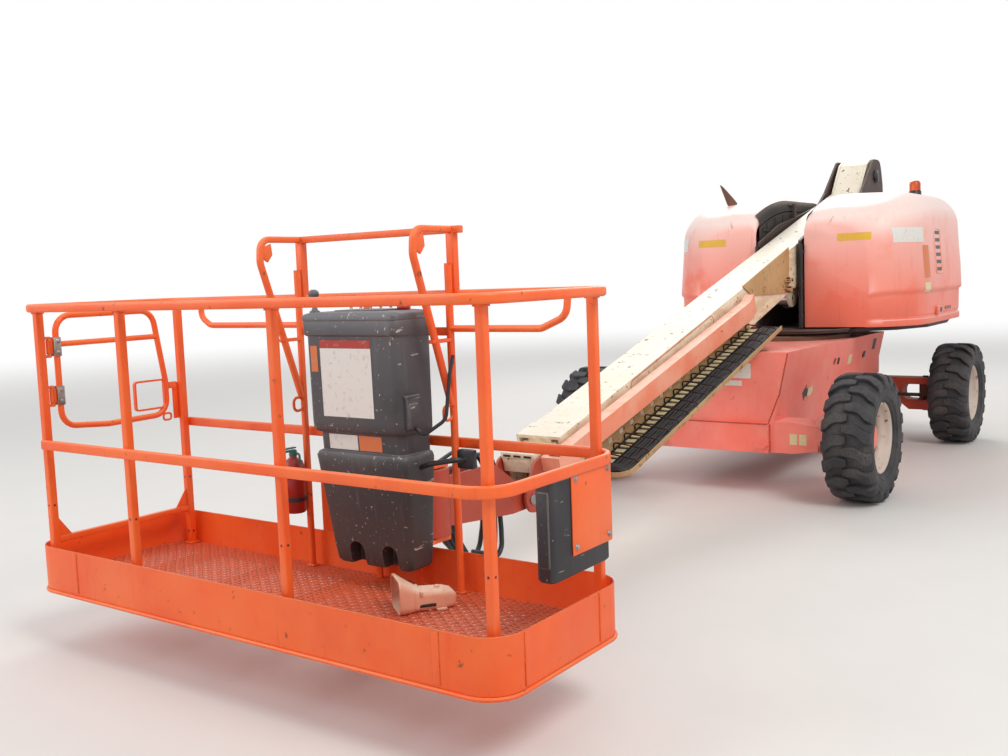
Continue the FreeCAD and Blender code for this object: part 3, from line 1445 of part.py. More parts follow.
gate_bore = cyl("gate_bore", (gate_pin_x, gate_y, 1000), (0, 0, 1), gate_pin_r + run_gap, 400)
finish(cut("gate_done", fuse("gate_whole", gate_pieces), [gate_bore]), "platform_gate")

doc.recompute()

# Checks and export

os.makedirs("parts", exist_ok=True)
for obj in doc.Objects:
    state = list(obj.State)
    if "Invalid" in state or "Error" in state:
        raise RuntimeError("object in error: " + obj.Name)
for obj in parts:
    if obj.Shape.isNull():
        raise RuntimeError("empty shape: " + obj.Label)
    if not obj.Shape.isValid():
        raise RuntimeError("invalid shape: " + obj.Label)
    if len(obj.Shape.Solids) != 1:
        print("solids", obj.Label, len(obj.Shape.Solids))
    obj.Shape.exportStep("parts/" + obj.Label + ".step")
bounds = FreeCAD.BoundBox()
for obj in parts:
    bounds.add(obj.Shape.BoundBox)
print("box", bounds)
print("parts", len(parts))
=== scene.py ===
import json
import logging
from dataclasses import dataclass
from enum import Enum
from math import cos, pi, radians, sin, sqrt, tan
from typing import Callable, Optional, Sequence, Union

import bmesh
import bpy
from mathutils import Matrix, Vector
from mathutils.bvhtree import BVHTree

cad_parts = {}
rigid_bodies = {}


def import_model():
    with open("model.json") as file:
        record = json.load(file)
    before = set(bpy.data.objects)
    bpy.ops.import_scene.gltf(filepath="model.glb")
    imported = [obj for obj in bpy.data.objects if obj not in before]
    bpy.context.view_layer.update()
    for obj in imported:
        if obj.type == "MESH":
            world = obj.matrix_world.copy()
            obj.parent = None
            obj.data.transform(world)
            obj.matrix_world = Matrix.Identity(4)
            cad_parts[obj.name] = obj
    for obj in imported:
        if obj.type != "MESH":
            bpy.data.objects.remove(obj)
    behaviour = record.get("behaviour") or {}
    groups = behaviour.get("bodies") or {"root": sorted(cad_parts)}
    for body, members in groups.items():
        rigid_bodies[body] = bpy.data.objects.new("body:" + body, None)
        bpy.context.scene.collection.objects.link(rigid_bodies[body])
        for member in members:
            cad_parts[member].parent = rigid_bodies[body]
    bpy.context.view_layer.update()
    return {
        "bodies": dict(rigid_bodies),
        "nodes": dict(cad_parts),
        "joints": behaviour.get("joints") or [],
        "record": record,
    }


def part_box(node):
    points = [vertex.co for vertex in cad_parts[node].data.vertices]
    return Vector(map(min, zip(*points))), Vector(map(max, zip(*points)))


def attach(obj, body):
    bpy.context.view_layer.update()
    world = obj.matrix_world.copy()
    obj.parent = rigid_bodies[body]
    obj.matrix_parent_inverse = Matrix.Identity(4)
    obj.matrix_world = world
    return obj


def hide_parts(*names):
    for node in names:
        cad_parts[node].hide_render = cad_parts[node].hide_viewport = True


log = logging.getLogger("boom_lift")

Flat = tuple[float, float]
Point = tuple[float, float, float]
Colour = tuple[int, int, int]
Socket = bpy.types.NodeSocket
Value = Union[Socket, float]
Tint = Union[Socket, Colour]
Material = bpy.types.Material
Piece = bpy.types.Object
Vert = bmesh.types.BMVert

# Places are given in metres from the slewing axis, as in the construction source
SHIFT = -1.689
MACHINE = Matrix.Translation((SHIFT, 0, 0))
BOOM_SLOPE = radians(16.2)
PIVOT = (-1.75, 0, 2.27)
HINGES = (1.075, 1.28)
BOOM = MACHINE @ Matrix.Translation(PIVOT) @ Matrix.Rotation(BOOM_SLOPE, 4, "Y")


class Side(Enum):
    """The two sides of the machine, seen along the stowed boom."""

    LEFT = 1
    RIGHT = -1


class Plane(Enum):
    """The plane that a flat outline is drawn in."""

    XY = "XY"
    XZ = "XZ"
    YZ = "YZ"


def tone(red: int, green: int, blue: int) -> Colour:
    """Turns a screen colour, from 0 to 255, into the light colour that a shader takes."""
    return tuple(((c / 255.0 + 0.055) / 1.055) ** 2.4 if c > 10 else c / 3295.0 for c in (red, green, blue))


class Shade:
    """A material's node tree and the few moves that the finishes share."""

    def __init__(self, name: str) -> None:
        """Starts an empty material.

        Args:
            name: The material's name.
        """
        self.material = bpy.data.materials.new(name)
        self.material.use_nodes = True
        self.tree = self.material.node_tree
        self.tree.nodes.clear()
        self.out = self.tree.nodes.new("ShaderNodeOutputMaterial")
        self.skin = self.tree.nodes.new("ShaderNodeBsdfPrincipled")
        self.tree.links.new(self.skin.outputs["BSDF"], self.out.inputs["Surface"])
        self.coords = self.tree.nodes.new("ShaderNodeTexCoord")

    def feed(self, socket: Socket, value: Union[Socket, float, Sequence[float]]) -> None:
        """Links or sets an input.

        Args:
            socket: The input.
            value: Another node's output, a number or a screen colour.
        """
        if isinstance(value, bpy.types.NodeSocket):
            self.tree.links.new(value, socket)
        elif isinstance(value, (int, float)):
            socket.default_value = value
        elif len(value) == 3 and socket.type == "RGBA":
            socket.default_value = (*tone(*value), 1.0)
        else:
            socket.default_value = value

    def node(self, kind: str, inputs: dict[Union[str, int], object], **choices: object) -> bpy.types.Node:
        """Adds a node.

        Args:
            kind: The node's kind, without ShaderNode.
            inputs: What is fed to its inputs.
            choices: Its settings.

        Returns:
            The new node.
        """
        node = self.tree.nodes.new("ShaderNode" + kind)
        for name, choice in choices.items():
            setattr(node, name, choice)
        for name, value in inputs.items():
            self.feed(node.inputs[name], value)
        return node

    def place(self, stretch: Point = (1.0, 1.0, 1.0)) -> Socket:
        """Gives the coordinates that ride with the piece.

        Args:
            stretch: Scale along each axis.

        Returns:
            The coordinate output.
        """
        if stretch == (1.0, 1.0, 1.0):
            return self.coords.outputs["Object"]
        return self.node("Mapping", {"Vector": self.coords.outputs["Object"], "Scale": stretch}).outputs["Vector"]

    def noise(self, scale: float, detail: float = 4.0, stretch: Point = (1.0, 1.0, 1.0)) -> Socket:
        """Makes a cloud pattern.

        Args:
            scale: Patches per metre.
            detail: How many finer layers it has.
            stretch: Scale along each axis.

        Returns:
            A value from 0 to 1.
        """
        inputs = {"Vector": self.place(stretch), "Scale": scale, "Detail": detail, "Roughness": 0.6}
        return self.node("TexNoise", inputs).outputs["Fac"]

    def axis(self, letter: str, of_normal: bool = False) -> Socket:
        """Takes one coordinate, X, Y or Z, of the place or of the surface's direction."""
        vector = self.coords.outputs["Normal" if of_normal else "Object"]
        return self.node("SeparateXYZ", {0: vector}).outputs[letter]

    def span(self, value: Value, low: float, high: float) -> Socket:
        """Spreads a value smoothly, so that low becomes 0 and high becomes 1."""
        inputs = {"Value": value, "From Min": low, "From Max": high}
        return self.node("MapRange", inputs, interpolation_type="SMOOTHSTEP").outputs["Result"]

    def sum(self, kind: str, first: Value, second: Value) -> Socket:
        """Does one sum, such as SUBTRACT, on two values and keeps the result from 0 to 1."""
        return self.node("Math", {0: first, 1: second}, operation=kind, use_clamp=True).outputs[0]

    def times(self, first: Value, second: Value) -> Socket:
        """Multiplies two values and keeps the result from 0 to 1."""
        return self.sum("MULTIPLY", first, second)

    def plus(self, first: Value, second: Value) -> Socket:
        """Adds two values and keeps the result from 0 to 1."""
        return self.sum("ADD", first, second)

    def blend(self, share: Value, first: Tint, second: Tint) -> Socket:
        """Mixes two colours, by the share of the second that shows."""
        return self.node("Mix", {"Factor": share, 6: first, 7: second}, data_type="RGBA").outputs[2]

    def tint(self, colour: Tint, over: Colour, pattern: Socket, low: float, high: float,
             share: Value) -> Socket:
        """Lays a second colour over the first where a pattern runs from low to high."""
        return self.blend(self.times(self.span(pattern, low, high), share), colour, over)

    def edges(self, radius: float) -> tuple[Socket, Socket]:
        """Finds the piece's edges.

        Args:
            radius: How far from an edge counts, in metres.

        Returns:
            A mask of the edges, and a direction that rounds them.
        """
        rounded = self.node("Bevel", {"Radius": radius}, samples=4).outputs["Normal"]
        flat = self.node("NewGeometry", {}).outputs["Normal"]
        dot = self.node("VectorMath", {0: rounded, 1: flat}, operation="DOT_PRODUCT").outputs["Value"]
        return self.span(self.sum("SUBTRACT", 1.0, dot), 0.01, 0.2), rounded

    def finish(self, colour: Tint, rough: Value, height: Socket, depth: float,
               normal: Optional[Socket] = None) -> Material:
        """Feeds the shader.

        Args:
            colour: The surface's colour.
            rough: Its roughness.
            height: The relief's pattern.
            depth: The relief's depth in metres.
            normal: A direction that the relief starts from.

        Returns:
            The finished material.
        """
        bump = self.node("Bump", {"Strength": 0.8, "Distance": depth, "Height": height})
        if normal is not None:
            self.feed(bump.inputs["Normal"], normal)
        self.feed(self.skin.inputs["Base Color"], colour)
        self.feed(self.skin.inputs["Roughness"], rough)
        self.feed(self.skin.inputs["Normal"], bump.outputs["Normal"])
        return self.material


RUST_DARK = (84, 42, 24)
RUST_LIGHT = (150, 84, 44)
DUST = (176, 160, 142)


@dataclass(frozen=True)
class Paint:
    """Paint on steel: mottled, lighter on top from sun fade and a painted highlight, rusted and worn at its edges."""

    name: str
    colour: Colour
    shade: Colour
    faded_and_lit: Colour
    fade_and_highlight: float = 0.4
    wear: float = 0.4
    rust: float = 0.3
    dust: float = 0.2
    rough: float = 0.5
    round_edge: float = 0.003
    side_tan: float = 0.0

    def make(self) -> Material:
        """Builds the material.

        Returns:
            The finished material.
        """
        s = Shade(self.name)
        broad = s.noise(1.9, 3.0)
        patch = s.noise(8.0, 6.0)
        fine = s.noise(60.0, 6.0)
        streak = s.noise(3.0, 4.0, (14.0, 14.0, 1.3))
        up = s.span(s.axis("Z", True), 0.1, 0.9)
        colour = s.tint(self.colour, self.shade, broad, 0.3, 0.75, 0.7)
        weathered = s.times(s.span(s.noise(2.6, 7.0), 0.25, 0.8), self.fade_and_highlight * 0.7)
        colour = s.blend(weathered, colour, self.faded_and_lit)
        # Faces that point up turn towards the faded colour: partly sun fade, partly a painted highlight on top.
        colour = s.blend(s.times(up, s.times(s.span(patch, 0.2, 0.6), self.fade_and_highlight)), colour, self.faded_and_lit)
        colour = s.tint(colour, self.shade, streak, 0.55, 0.8, 0.35)
        # Upright faces get noisy patches of a darker tan, so the sides read browner than the top.
        if self.side_tan > 0:
            level = s.sum("SUBTRACT", 1.0, s.span(s.sum("ABSOLUTE", s.axis("Z", True), 0), 0.2, 0.5))
            stain = s.span(s.noise(5.0, 8.0, (1.0, 3.0, 3.0)), 0.36, 0.62)
            colour = s.blend(s.times(s.times(level, stain), self.side_tan), colour, (186, 136, 84))
        edge, rounded = s.edges(self.round_edge)
        rub = s.times(edge, s.span(patch, 0.62 - 0.3 * self.wear, 0.7))
        rub = s.times(rub, s.span(fine, 0.3, 0.6))
        spots = s.times(s.span(s.noise(24.0, 8.0), 0.68 - 0.12 * self.rust, 0.74), s.span(patch, 0.45, 0.6))
        bare = s.sum("MAXIMUM", s.times(rub, self.wear * 2.0), s.times(spots, self.rust * 2.5))
        rust = s.blend(s.span(fine, 0.35, 0.65), RUST_DARK, RUST_LIGHT)
        colour = s.blend(bare, colour, rust)
        dusty = s.times(s.span(s.plus(broad, s.times(up, 0.3)), 0.5, 0.9), self.dust)
        colour = s.blend(s.times(dusty, s.span(fine, 0.25, 0.7)), colour, DUST)
        grit = s.noise(300.0, 3.0)
        rough = s.plus(s.times(patch, 0.22), self.rough - 0.1)
        rough = s.plus(rough, s.times(bare, 0.3))
        relief = s.sum("SUBTRACT", s.plus(s.times(grit, 0.25), s.times(fine, 0.35)),
                       s.times(bare, 0.4))
        return s.finish(colour, rough, relief, 0.0012, rounded)


@dataclass(frozen=True)
class Moulding:
    """A moulded plastic skin, lighter towards the top from sun bleaching and a painted highlight."""

    name: str
    colour: Colour
    bleached_and_lit: Colour
    low: float = 0.0
    high: float = 1.0
    bleach_and_highlight: float = 0.8
    rough: float = 0.42
    grain: float = 0.0006
    stain: Colour = (126, 92, 78)
    scuff: float = 0.3

    def make(self) -> Material:
        """Builds the material.

        Returns:
            The finished material.
        """
        s = Shade(self.name)
        patch = s.noise(3.2, 6.0)
        cloud = s.noise(0.9, 2.0)
        fine = s.noise(90.0, 5.0)
        up = s.span(s.axis("Z", True), -0.1, 0.85)
        height = s.span(s.axis("Z"), self.low, self.high)
        # Paler higher up and on faces that point up: partly sun bleaching, partly a painted highlight on top.
        bleach_and_highlight_share = s.times(s.plus(s.times(height, 0.55), s.times(up, 0.6)), self.bleach_and_highlight)
        bleach_and_highlight_share = s.sum("SUBTRACT", bleach_and_highlight_share, s.times(s.span(patch, 0.5, 0.75), 0.22))
        colour = s.blend(bleach_and_highlight_share, self.colour, self.bleached_and_lit)
        streak = s.noise(2.0, 5.0, (16.0, 16.0, 1.0))
        colour = s.tint(colour, self.stain, streak, 0.56, 0.82, 0.25)
        colour = s.tint(colour, DUST, cloud, 0.45, 0.75, 0.14)
        edge, rounded = s.edges(0.006)
        scuffs = s.times(s.span(s.noise(9.0, 8.0, (1.0, 7.0, 7.0)), 0.66 - 0.04 * self.scuff,
                                0.71 - 0.04 * self.scuff), self.scuff)
        # Every edge turns a little paler: partly scuffed plastic, partly a painted edge highlight.
        colour = s.blend(s.sum("MAXIMUM", scuffs, s.times(edge, 0.25)), colour, (232, 214, 204))
        rough = s.plus(s.times(patch, 0.25), self.rough - 0.1)
        return s.finish(colour, rough, s.plus(s.times(fine, 0.5), s.times(patch, 0.3)), self.grain, rounded)


@dataclass(frozen=True)
class Rubber:
    """Black rubber with grey dust on it."""

    name: str
    colour: Colour = (42, 42, 46)
    dusty: Colour = (118, 112, 106)
    dust: float = 0.5
    rough: float = 0.72

    def make(self) -> Material:
        """Builds the material.

        Returns:
            The finished material.
        """
        s = Shade(self.name)
        patch = s.noise(7.0, 6.0)
        fine = s.noise(120.0, 5.0)
        mud = s.times(s.span(patch, 0.38, 0.72), self.dust)
        colour = s.blend(s.times(mud, s.span(fine, 0.2, 0.75)), self.colour, self.dusty)
        edge, rounded = s.edges(0.004)
        # Every edge turns a cool grey: partly worn rubber, partly a painted edge highlight.
        colour = s.blend(s.times(edge, 0.35), colour, (96, 96, 102))
        rough = s.plus(s.times(patch, 0.2), self.rough - 0.12)
        return s.finish(colour, rough, s.plus(s.times(fine, 0.4), s.times(patch, 0.4)), 0.0015, rounded)


@dataclass(frozen=True)
class Steel:
    """Bare or plated metal with grime in its grain."""

    name: str
    colour: Colour = (168, 164, 160)
    grime: Colour = (62, 50, 42)
    dirt: float = 0.4
    rough: float = 0.35

    def make(self) -> Material:
        """Builds the material.

        Returns:
            The finished material.
        """
        s = Shade(self.name)
        s.skin.inputs["Metallic"].default_value = 0.9
        patch = s.noise(16.0, 6.0)
        brushed = s.noise(40.0, 4.0, (1.0, 14.0, 14.0))
        colour = s.tint(self.colour, self.grime, patch, 0.4, 0.7, self.dirt)
        rough = s.plus(s.times(patch, 0.3), self.rough - 0.1)
        _, rounded = s.edges(0.002)
        return s.finish(colour, rough, brushed, 0.0004, rounded)


@dataclass(frozen=True)
class Label:
    """A blank printed label with scuffs; the flat black one also stands for painted shade in holes and slots."""

    name: str
    colour: Colour
    rough: float = 0.4

    def make(self) -> Material:
        """Builds the material.

        Returns:
            The finished material.
        """
        s = Shade(self.name)
        patch = s.noise(40.0, 6.0)
        fine = s.noise(260.0, 4.0)
        worn = s.times(s.span(patch, 0.55, 0.72), 0.45)
        colour = s.blend(worn, self.colour, (170, 150, 134))
        return s.finish(colour, s.plus(s.times(fine, 0.2), self.rough - 0.1), patch, 0.0003)


@dataclass(frozen=True)
class Lens:
    """A clear coloured plastic lens."""

    name: str
    colour: Colour

    def make(self) -> Material:
        """Builds the material.

        Returns:
            The finished material.
        """
        s = Shade(self.name)
        s.skin.inputs["Transmission Weight"].default_value = 0.5
        s.skin.inputs["IOR"].default_value = 1.49
        ribs = s.noise(60.0, 2.0, (1.0, 1.0, 9.0))
        colour = s.blend(s.span(s.noise(22.0, 4.0), 0.4, 0.7), self.colour, (230, 120, 30))
        return s.finish(colour, s.plus(s.times(ribs, 0.2), 0.05), ribs, 0.0006)


class Shop:
    """Keeps one material for each finish."""

    FINISHES = (
        Paint("platform orange", (246, 94, 22), (230, 72, 14), (250, 152, 88), 0.45, 1.1, 0.5, 0.08, 0.42),
        Paint("boom cream", (246, 234, 206), (234, 214, 176), (252, 246, 234), 0.7, 1.1, 0.9, 0.12, 0.5, 0.003, 0.4),
        Paint("push salmon", (248, 128, 88), (236, 112, 76), (252, 216, 192), 0.7, 0.7, 0.45, 0.12, 0.5),
        Paint("tray cream", (196, 158, 106), (150, 98, 60), (228, 204, 164), 0.4, 1.0, 1.0, 0.2, 0.6),
        Paint("plate cream", (236, 222, 170), (214, 194, 140), (246, 238, 206), 0.4, 0.5, 0.4, 0.1, 0.5),
        Paint("chassis salmon", (252, 120, 102), (244, 106, 90), (252, 184, 172), 0.6, 0.6, 0.4, 0.12, 0.5),
        Paint("axle red", (196, 74, 48), (150, 56, 40), (214, 112, 88), 0.3, 0.5, 0.5, 0.35, 0.6),
        Paint("tower brown", (62, 44, 42), (48, 33, 31), (98, 76, 70), 0.4, 0.4, 0.4, 0.3, 0.6),
        Paint("axle drab", (110, 70, 54), (76, 50, 40), (150, 118, 98), 0.4, 0.4, 0.5, 0.5, 0.75),
        Paint("rim cream", (206, 190, 178), (182, 146, 128), (224, 212, 202), 0.5, 0.9, 0.9, 0.25, 0.5),
        # The rim's dish is darker than the rim cream: partly rust and dirt, partly painted shade of the recess.
        Paint("rim dish", (150, 124, 112), (120, 84, 68), (176, 156, 146), 0.5, 0.5, 0.8, 0.4, 0.6),
        Paint("nose red", (186, 64, 40), (130, 46, 34), (214, 112, 84), 0.35, 0.6, 0.5, 0.25, 0.5),
        Paint("black enamel", (36, 34, 36), (24, 22, 24), (74, 70, 70), 0.3, 0.4, 0.3, 0.35, 0.45),
        Paint("mesh orange", (226, 84, 36), (184, 62, 30), (240, 130, 86), 0.3, 0.5, 0.4, 0.2, 0.6),
        Paint("counterweight salmon", (244, 116, 94), (220, 96, 76), (248, 180, 162), 0.6, 0.4, 0.3, 0.2, 0.55),
        Paint("cylinder red", (168, 34, 30), (128, 26, 24), (196, 70, 60), 0.3, 0.3, 0.1, 0.2, 0.3),
        Paint("cap teal", (48, 122, 116), (36, 92, 90), (90, 150, 142), 0.2, 0.2, 0, 0.2, 0.4),
        Paint("casting peach", (226, 150, 110), (196, 104, 62), (244, 212, 188), 0.9, 0.7, 0.7, 0.25, 0.6),
        Paint("inner iron", (58, 54, 52), (44, 40, 38), (92, 84, 78), 0.3, 0.3, 0.4, 0.5, 0.8),
        Moulding("cover salmon", (248, 122, 98), (250, 224, 216), 1.12, 1.9, 1.0, 0.38),
        Moulding("console grey", (50, 49, 52), (112, 112, 118), 0.5, 1.7, 0.8, 0.5, 0.001, (138, 138, 142), 0.6),
        Moulding("case black", (34, 33, 40), (84, 84, 94), 0.4, 1.4, 0.5, 0.5, 0.0008, (120, 120, 128), 0.4),
        Rubber("tyre rubber"),
        Rubber("hose rubber", (24, 24, 28), (66, 64, 66), 0.3, 0.42),
        Steel("pin steel"),
        Steel("rod chrome", (214, 214, 214), (120, 112, 104), 0.2, 0.16),
        Steel("wire steel", (64, 58, 56), (96, 56, 34), 0.6, 0.5),
        Label("label white", (226, 224, 218)),
        Label("label cream", (228, 206, 160)),
        Label("label yellow", (226, 178, 52)),
        Label("label orange", (218, 116, 60)),
        Label("label red", (178, 52, 42)),
        # Also stands for the shade inside holes and slots, which are painted as black sheets and plugs.
        Label("label black", (34, 32, 34)),
        Lens("amber lens", (238, 84, 22)),
    )

    def __init__(self) -> None:
        """Makes every material once."""
        self.materials = {finish.name: finish.make() for finish in self.FINISHES}

    def dress(self, piece: Piece, name: str) -> None:
        """Gives a piece the finish with that name."""
        piece.data.materials.clear()
        piece.data.materials.append(self.materials[name])


def bend(corners: Sequence[Point], radius: float, closed: bool = False, steps: int = 6) -> list[Vector]:
    """Rounds the corners of a run.

    Args:
        corners: The run's corner points.
        radius: The bend's radius.
        closed: Whether the run closes on itself.
        steps: Straight pieces in each bend.

    Returns:
        The points along the run.
    """
    points: list[Vector] = []
    count = len(corners)
    for i, corner in enumerate(corners):
        here = Vector(corner)
        if not closed and i in (0, count - 1):
            points.append(here)
            continue
        before = Vector(corners[i - 1]) - here
        after = Vector(corners[(i + 1) % count]) - here
        angle = before.angle(after)
        if angle > pi - 0.02:
            points.append(here)
            continue
        reach = min(radius / tan(angle / 2), before.length * 0.48, after.length * 0.48)
        r = reach * tan(angle / 2)
        middle = (before.normalized() + after.normalized()).normalized()
        centre = here + middle * (r / sin(angle / 2))
        first = here + before.normalized() * reach - centre
        last = here + after.normalized() * reach - centre
        for k in range(steps + 1):
            points.append(centre + first.lerp(last, k / steps).normalized() * r)
    return points


def round_section(radius: float, sides: int = 12) -> list[Flat]:
    """Gives a round bar's section with so many sides."""
    angles = (2 * pi * k / sides for k in range(sides))
    return [(radius * cos(angle), radius * sin(angle)) for angle in angles]


def box_section(wide: float, high: float, radius: float, steps: int = 3) -> list[Flat]:
    """Gives a bar's section with rounded corners.

    Args:
        wide: Its width.
        high: Its height.
        radius: The corners' radius.
        steps: Straight pieces in each corner.

    Returns:
        The section's points.
    """
    points: list[Flat] = []
    for sx, sy, start in ((1, 1, 0), (-1, 1, 90), (-1, -1, 180), (1, -1, 270)):
        for k in range(steps + 1):
            angle = radians(start + 90 * k / steps)
            across, up = radius * cos(angle), radius * sin(angle)
            points.append((sx * (wide / 2 - radius) + across, sy * (high / 2 - radius) + up))
    return points


class Stock:
    """A mesh that is put together from plates, bars, tubes and turned pieces."""

    def __init__(self, name: str, place: Matrix = MACHINE) -> None:
        """Starts an empty mesh.

        Args:
            name: The piece's name.
            place: The frame that it is drawn in.
        """
        self.name = name
        self.place = place
        self.mesh = bmesh.new()

    def _soften(self, verts: Sequence[Vert], soft: float, steep: float = 0.3) -> None:
        """Rounds the sharp edges between some points.

        Args:
            verts: The points.
            soft: The rounding's radius.
            steep: The angle from which an edge is sharp.
        """
        if soft <= 0:
            return
        chosen = set(verts)
        edges = {e for v in verts for e in v.link_edges if e.other_vert(v) in chosen}
        sharp = [e for e in edges if len(e.link_faces) == 2 and e.calc_face_angle(0) > steep]
        bmesh.ops.bevel(self.mesh, geom=sharp, offset=soft, offset_type="OFFSET", segments=2, profile=0.5,
                        affect="EDGES")

    def block(self, low: Point, high: Point, soft: float = 0.002) -> None:
        """Adds a block with rounded edges.

        Args:
            low: Its lowest corner.
            high: Its highest corner.
            soft: The edges' radius.
        """
        verts = bmesh.ops.create_cube(self.mesh, size=1.0)["verts"]
        for v in verts:
            v.co = Vector([lo + (c + 0.5) * (hi - lo) for lo, hi, c in zip(low, high, v.co)])
        self._soften(verts, soft)

    def turned(self, profile: Sequence[Flat], centre: Point, axis: Point = (0, 0, 1), sides: int = 32,
               closed: bool = False) -> None:
        """Adds a turned piece.

        Args:
            profile: Its (radius, height) points from one end to the other.
            centre: Where height 0 is.
            axis: The direction of its height.
            sides: How many sides stand for the circle.
            closed: Whether the profile is a closed ring.
        """
        turn = Vector(axis).to_track_quat("Z", "Y").to_matrix()
        rings: list[list[Vert]] = []
        for radius, height in profile:
            if radius < 1e-6:
                rings.append([self.mesh.verts.new(Vector(centre) + turn @ Vector((0, 0, height)))])
                continue
            ring = []
            for k in range(sides):
                angle = 2 * pi * k / sides
                spot = turn @ Vector((radius * cos(angle), radius * sin(angle), height))
                ring.append(self.mesh.verts.new(Vector(centre) + spot))
            rings.append(ring)
        pairs = list(zip(rings, rings[1:] + rings[:1] if closed else rings[1:]))
        for near, far in pairs:
            for k in range(sides):
                j = (k + 1) % sides
                if len(near) == 1 and len(far) > 1:
                    self.mesh.faces.new((near[0], far[k], far[j]))
                elif len(far) == 1 and len(near) > 1:
                    self.mesh.faces.new((near[k], near[j], far[0]))
                elif len(near) > 1:
                    self.mesh.faces.new((near[k], near[j], far[j], far[k]))

    def rod(self, start: Point, end: Point, radius: float, sides: int = 20, soft: float = 0.0015) -> None:
        """Adds a round bar with eased ends.

        Args:
            start: The middle of one end.
            end: The middle of the other end.
            radius: Its radius.
            sides: How many sides stand for the circle.
            soft: How far the ends are eased.
        """
        along = Vector(end) - Vector(start)
        long = along.length
        soft = min(soft, radius * 0.5, long * 0.3)
        profile = [(0, 0), (radius - soft, 0), (radius, soft), (radius, long - soft), (radius - soft, long),
                   (0, long)]
        self.turned(profile, start, along, sides)

    def bolt(self, centre: Point, axis: Point, size: float = 0.016) -> None:
        """Adds a hexagon bolt head on its washer.

        Args:
            centre: Where the washer sits.
            axis: The direction that the head points.
            size: The head's radius.
        """
        unit = Vector(axis).normalized()
        base = Vector(centre) - unit * 0.002
        self.rod(base, base + unit * (0.002 + size * 0.25), size * 1.35, 16, 0.0006)
        self.rod(base, base + unit * (0.002 + size * 0.95), size, 6, size * 0.12)

    def plate(self, outline: Sequence[Flat], plane: Plane, offset: float, thick: float, soft: float = 0.0015) -> None:
        """Adds a flat plate.

        Args:
            outline: Its outline in the plane.
            plane: The plane that it is drawn in.
            offset: Where the plate's middle is, across the plane.
            thick: Its thickness.
            soft: The edges' radius.
        """
        spots: dict[Plane, Callable[[float, float, float], Point]] = {
            Plane.XY: lambda a, b, c: (a, b, c),
            Plane.XZ: lambda a, b, c: (a, c, b),
            Plane.YZ: lambda a, b, c: (c, a, b),
        }
        spot = spots[plane]
        low = [self.mesh.verts.new(spot(a, b, offset - thick / 2)) for a, b in outline]
        high = [self.mesh.verts.new(spot(a, b, offset + thick / 2)) for a, b in outline]
        faces = [self.mesh.faces.new(low), self.mesh.faces.new(list(reversed(high)))]
        count = len(outline)
        for k in range(count):
            j = (k + 1) % count
            faces.append(self.mesh.faces.new((low[k], high[k], high[j], low[j])))
        bmesh.ops.recalc_face_normals(self.mesh, faces=faces)
        self._soften(low + high, soft, 0.9)

    def sweep(self, path: Sequence[Union[Vector, Point]], section: Sequence[Flat], closed: bool = False,
              upright: Point = (0, 0, 1)) -> None:
        """Carries a section along a path.

        Args:
            path: The path's points.
            section: The section's (across, up) points.
            closed: Whether the path closes on itself.
            upright: The direction that the section's second number points.
        """
        count = len(path)
        rings: list[list[Vert]] = []
        for i in range(count):
            back = path[i - 1] if closed or i > 0 else path[i]
            ahead = path[(i + 1) % count] if closed or i < count - 1 else path[i]
            along = (Vector(ahead) - Vector(back)).normalized()
            up = Vector(upright)
            up = up - along * up.dot(along)
            if up.length < 0.05:
                up = Vector((1, 0, 0)) - along * along.x
            up.normalize()
            across = along.cross(up)
            stretch = 1.0
            if (closed or 0 < i < count - 1) and (Vector(path[i]) - Vector(back)).length > 1e-6:
                half = (Vector(path[i]) - Vector(back)).normalized().angle(along, 0)
                stretch = 1.0 / max(0.6, cos(half))
            rings.append([self.mesh.verts.new(Vector(path[i]) + across * a * stretch + up * b) for a, b in section])
        sides = len(section)
        faces = []
        for near, far in zip(rings, rings[1:] + rings[:1] if closed else rings[1:]):
            for k in range(sides):
                j = (k + 1) % sides
                faces.append(self.mesh.faces.new((near[k], near[j], far[j], far[k])))
        if not closed:
            faces.append(self.mesh.faces.new(list(reversed(rings[0]))))
            faces.append(self.mesh.faces.new(rings[-1]))
        bmesh.ops.recalc_face_normals(self.mesh, faces=faces)

    def loft(self, rings: Sequence[Sequence[Point]]) -> None:
        """Joins closed rings of points and closes the two ends.

        Args:
            rings: The rings, each with the same count of points.
        """
        made = [[self.mesh.verts.new(p) for p in ring] for ring in rings]
        faces = []
        for near, far in zip(made, made[1:]):
            for k in range(len(near)):
                j = (k + 1) % len(near)
                faces.append(self.mesh.faces.new((near[k], near[j], far[j], far[k])))
        faces.append(self.mesh.faces.new(list(reversed(made[0]))))
        faces.append(self.mesh.faces.new(made[-1]))
        bmesh.ops.recalc_face_normals(self.mesh, faces=faces)

    def decal(self, target: Piece, centre: Point, faces: Point, size: Flat, cells: int = 6,
              proud: float = 0.0012) -> "Stock":
        """Lays a thin sheet on another piece's surface.

        Args:
            target: The piece that carries it.
            centre: Where it lies, in metres from the slewing axis.
            faces: The direction that it faces.
            size: Its width and its height.
            cells: How many cells it has each way.
            proud: How far it stands off the surface.

        Returns:
            This stock.
        """
        tree = BVHTree.FromPolygons([v.co for v in target.data.vertices], [f.vertices for f in target.data.polygons])
        normal = Vector(faces).normalized()
        across = Vector((0, 0, 1)).cross(normal).normalized()
        up = normal.cross(across)
        middle = MACHINE @ Vector(centre)
        home = self.place.inverted()
        rows = []
        for i in range(cells + 1):
            row = []
            for j in range(cells + 1):
                spot = middle + across * size[0] * (i / cells - 0.5) + up * size[1] * (j / cells - 0.5)
                hit, lean, _, _ = tree.ray_cast(spot + normal * 0.35, -normal, 0.8)
                if hit is None:
                    hit, lean = spot, normal
                if lean.dot(normal) < 0:
                    lean = -lean
                row.append(self.mesh.verts.new(home @ (hit + lean * proud)))
            rows.append(row)
        for near, far in zip(rows, rows[1:]):
            for j in range(cells):
                self.mesh.faces.new((near[j], far[j], far[j + 1], near[j + 1]))
        return self

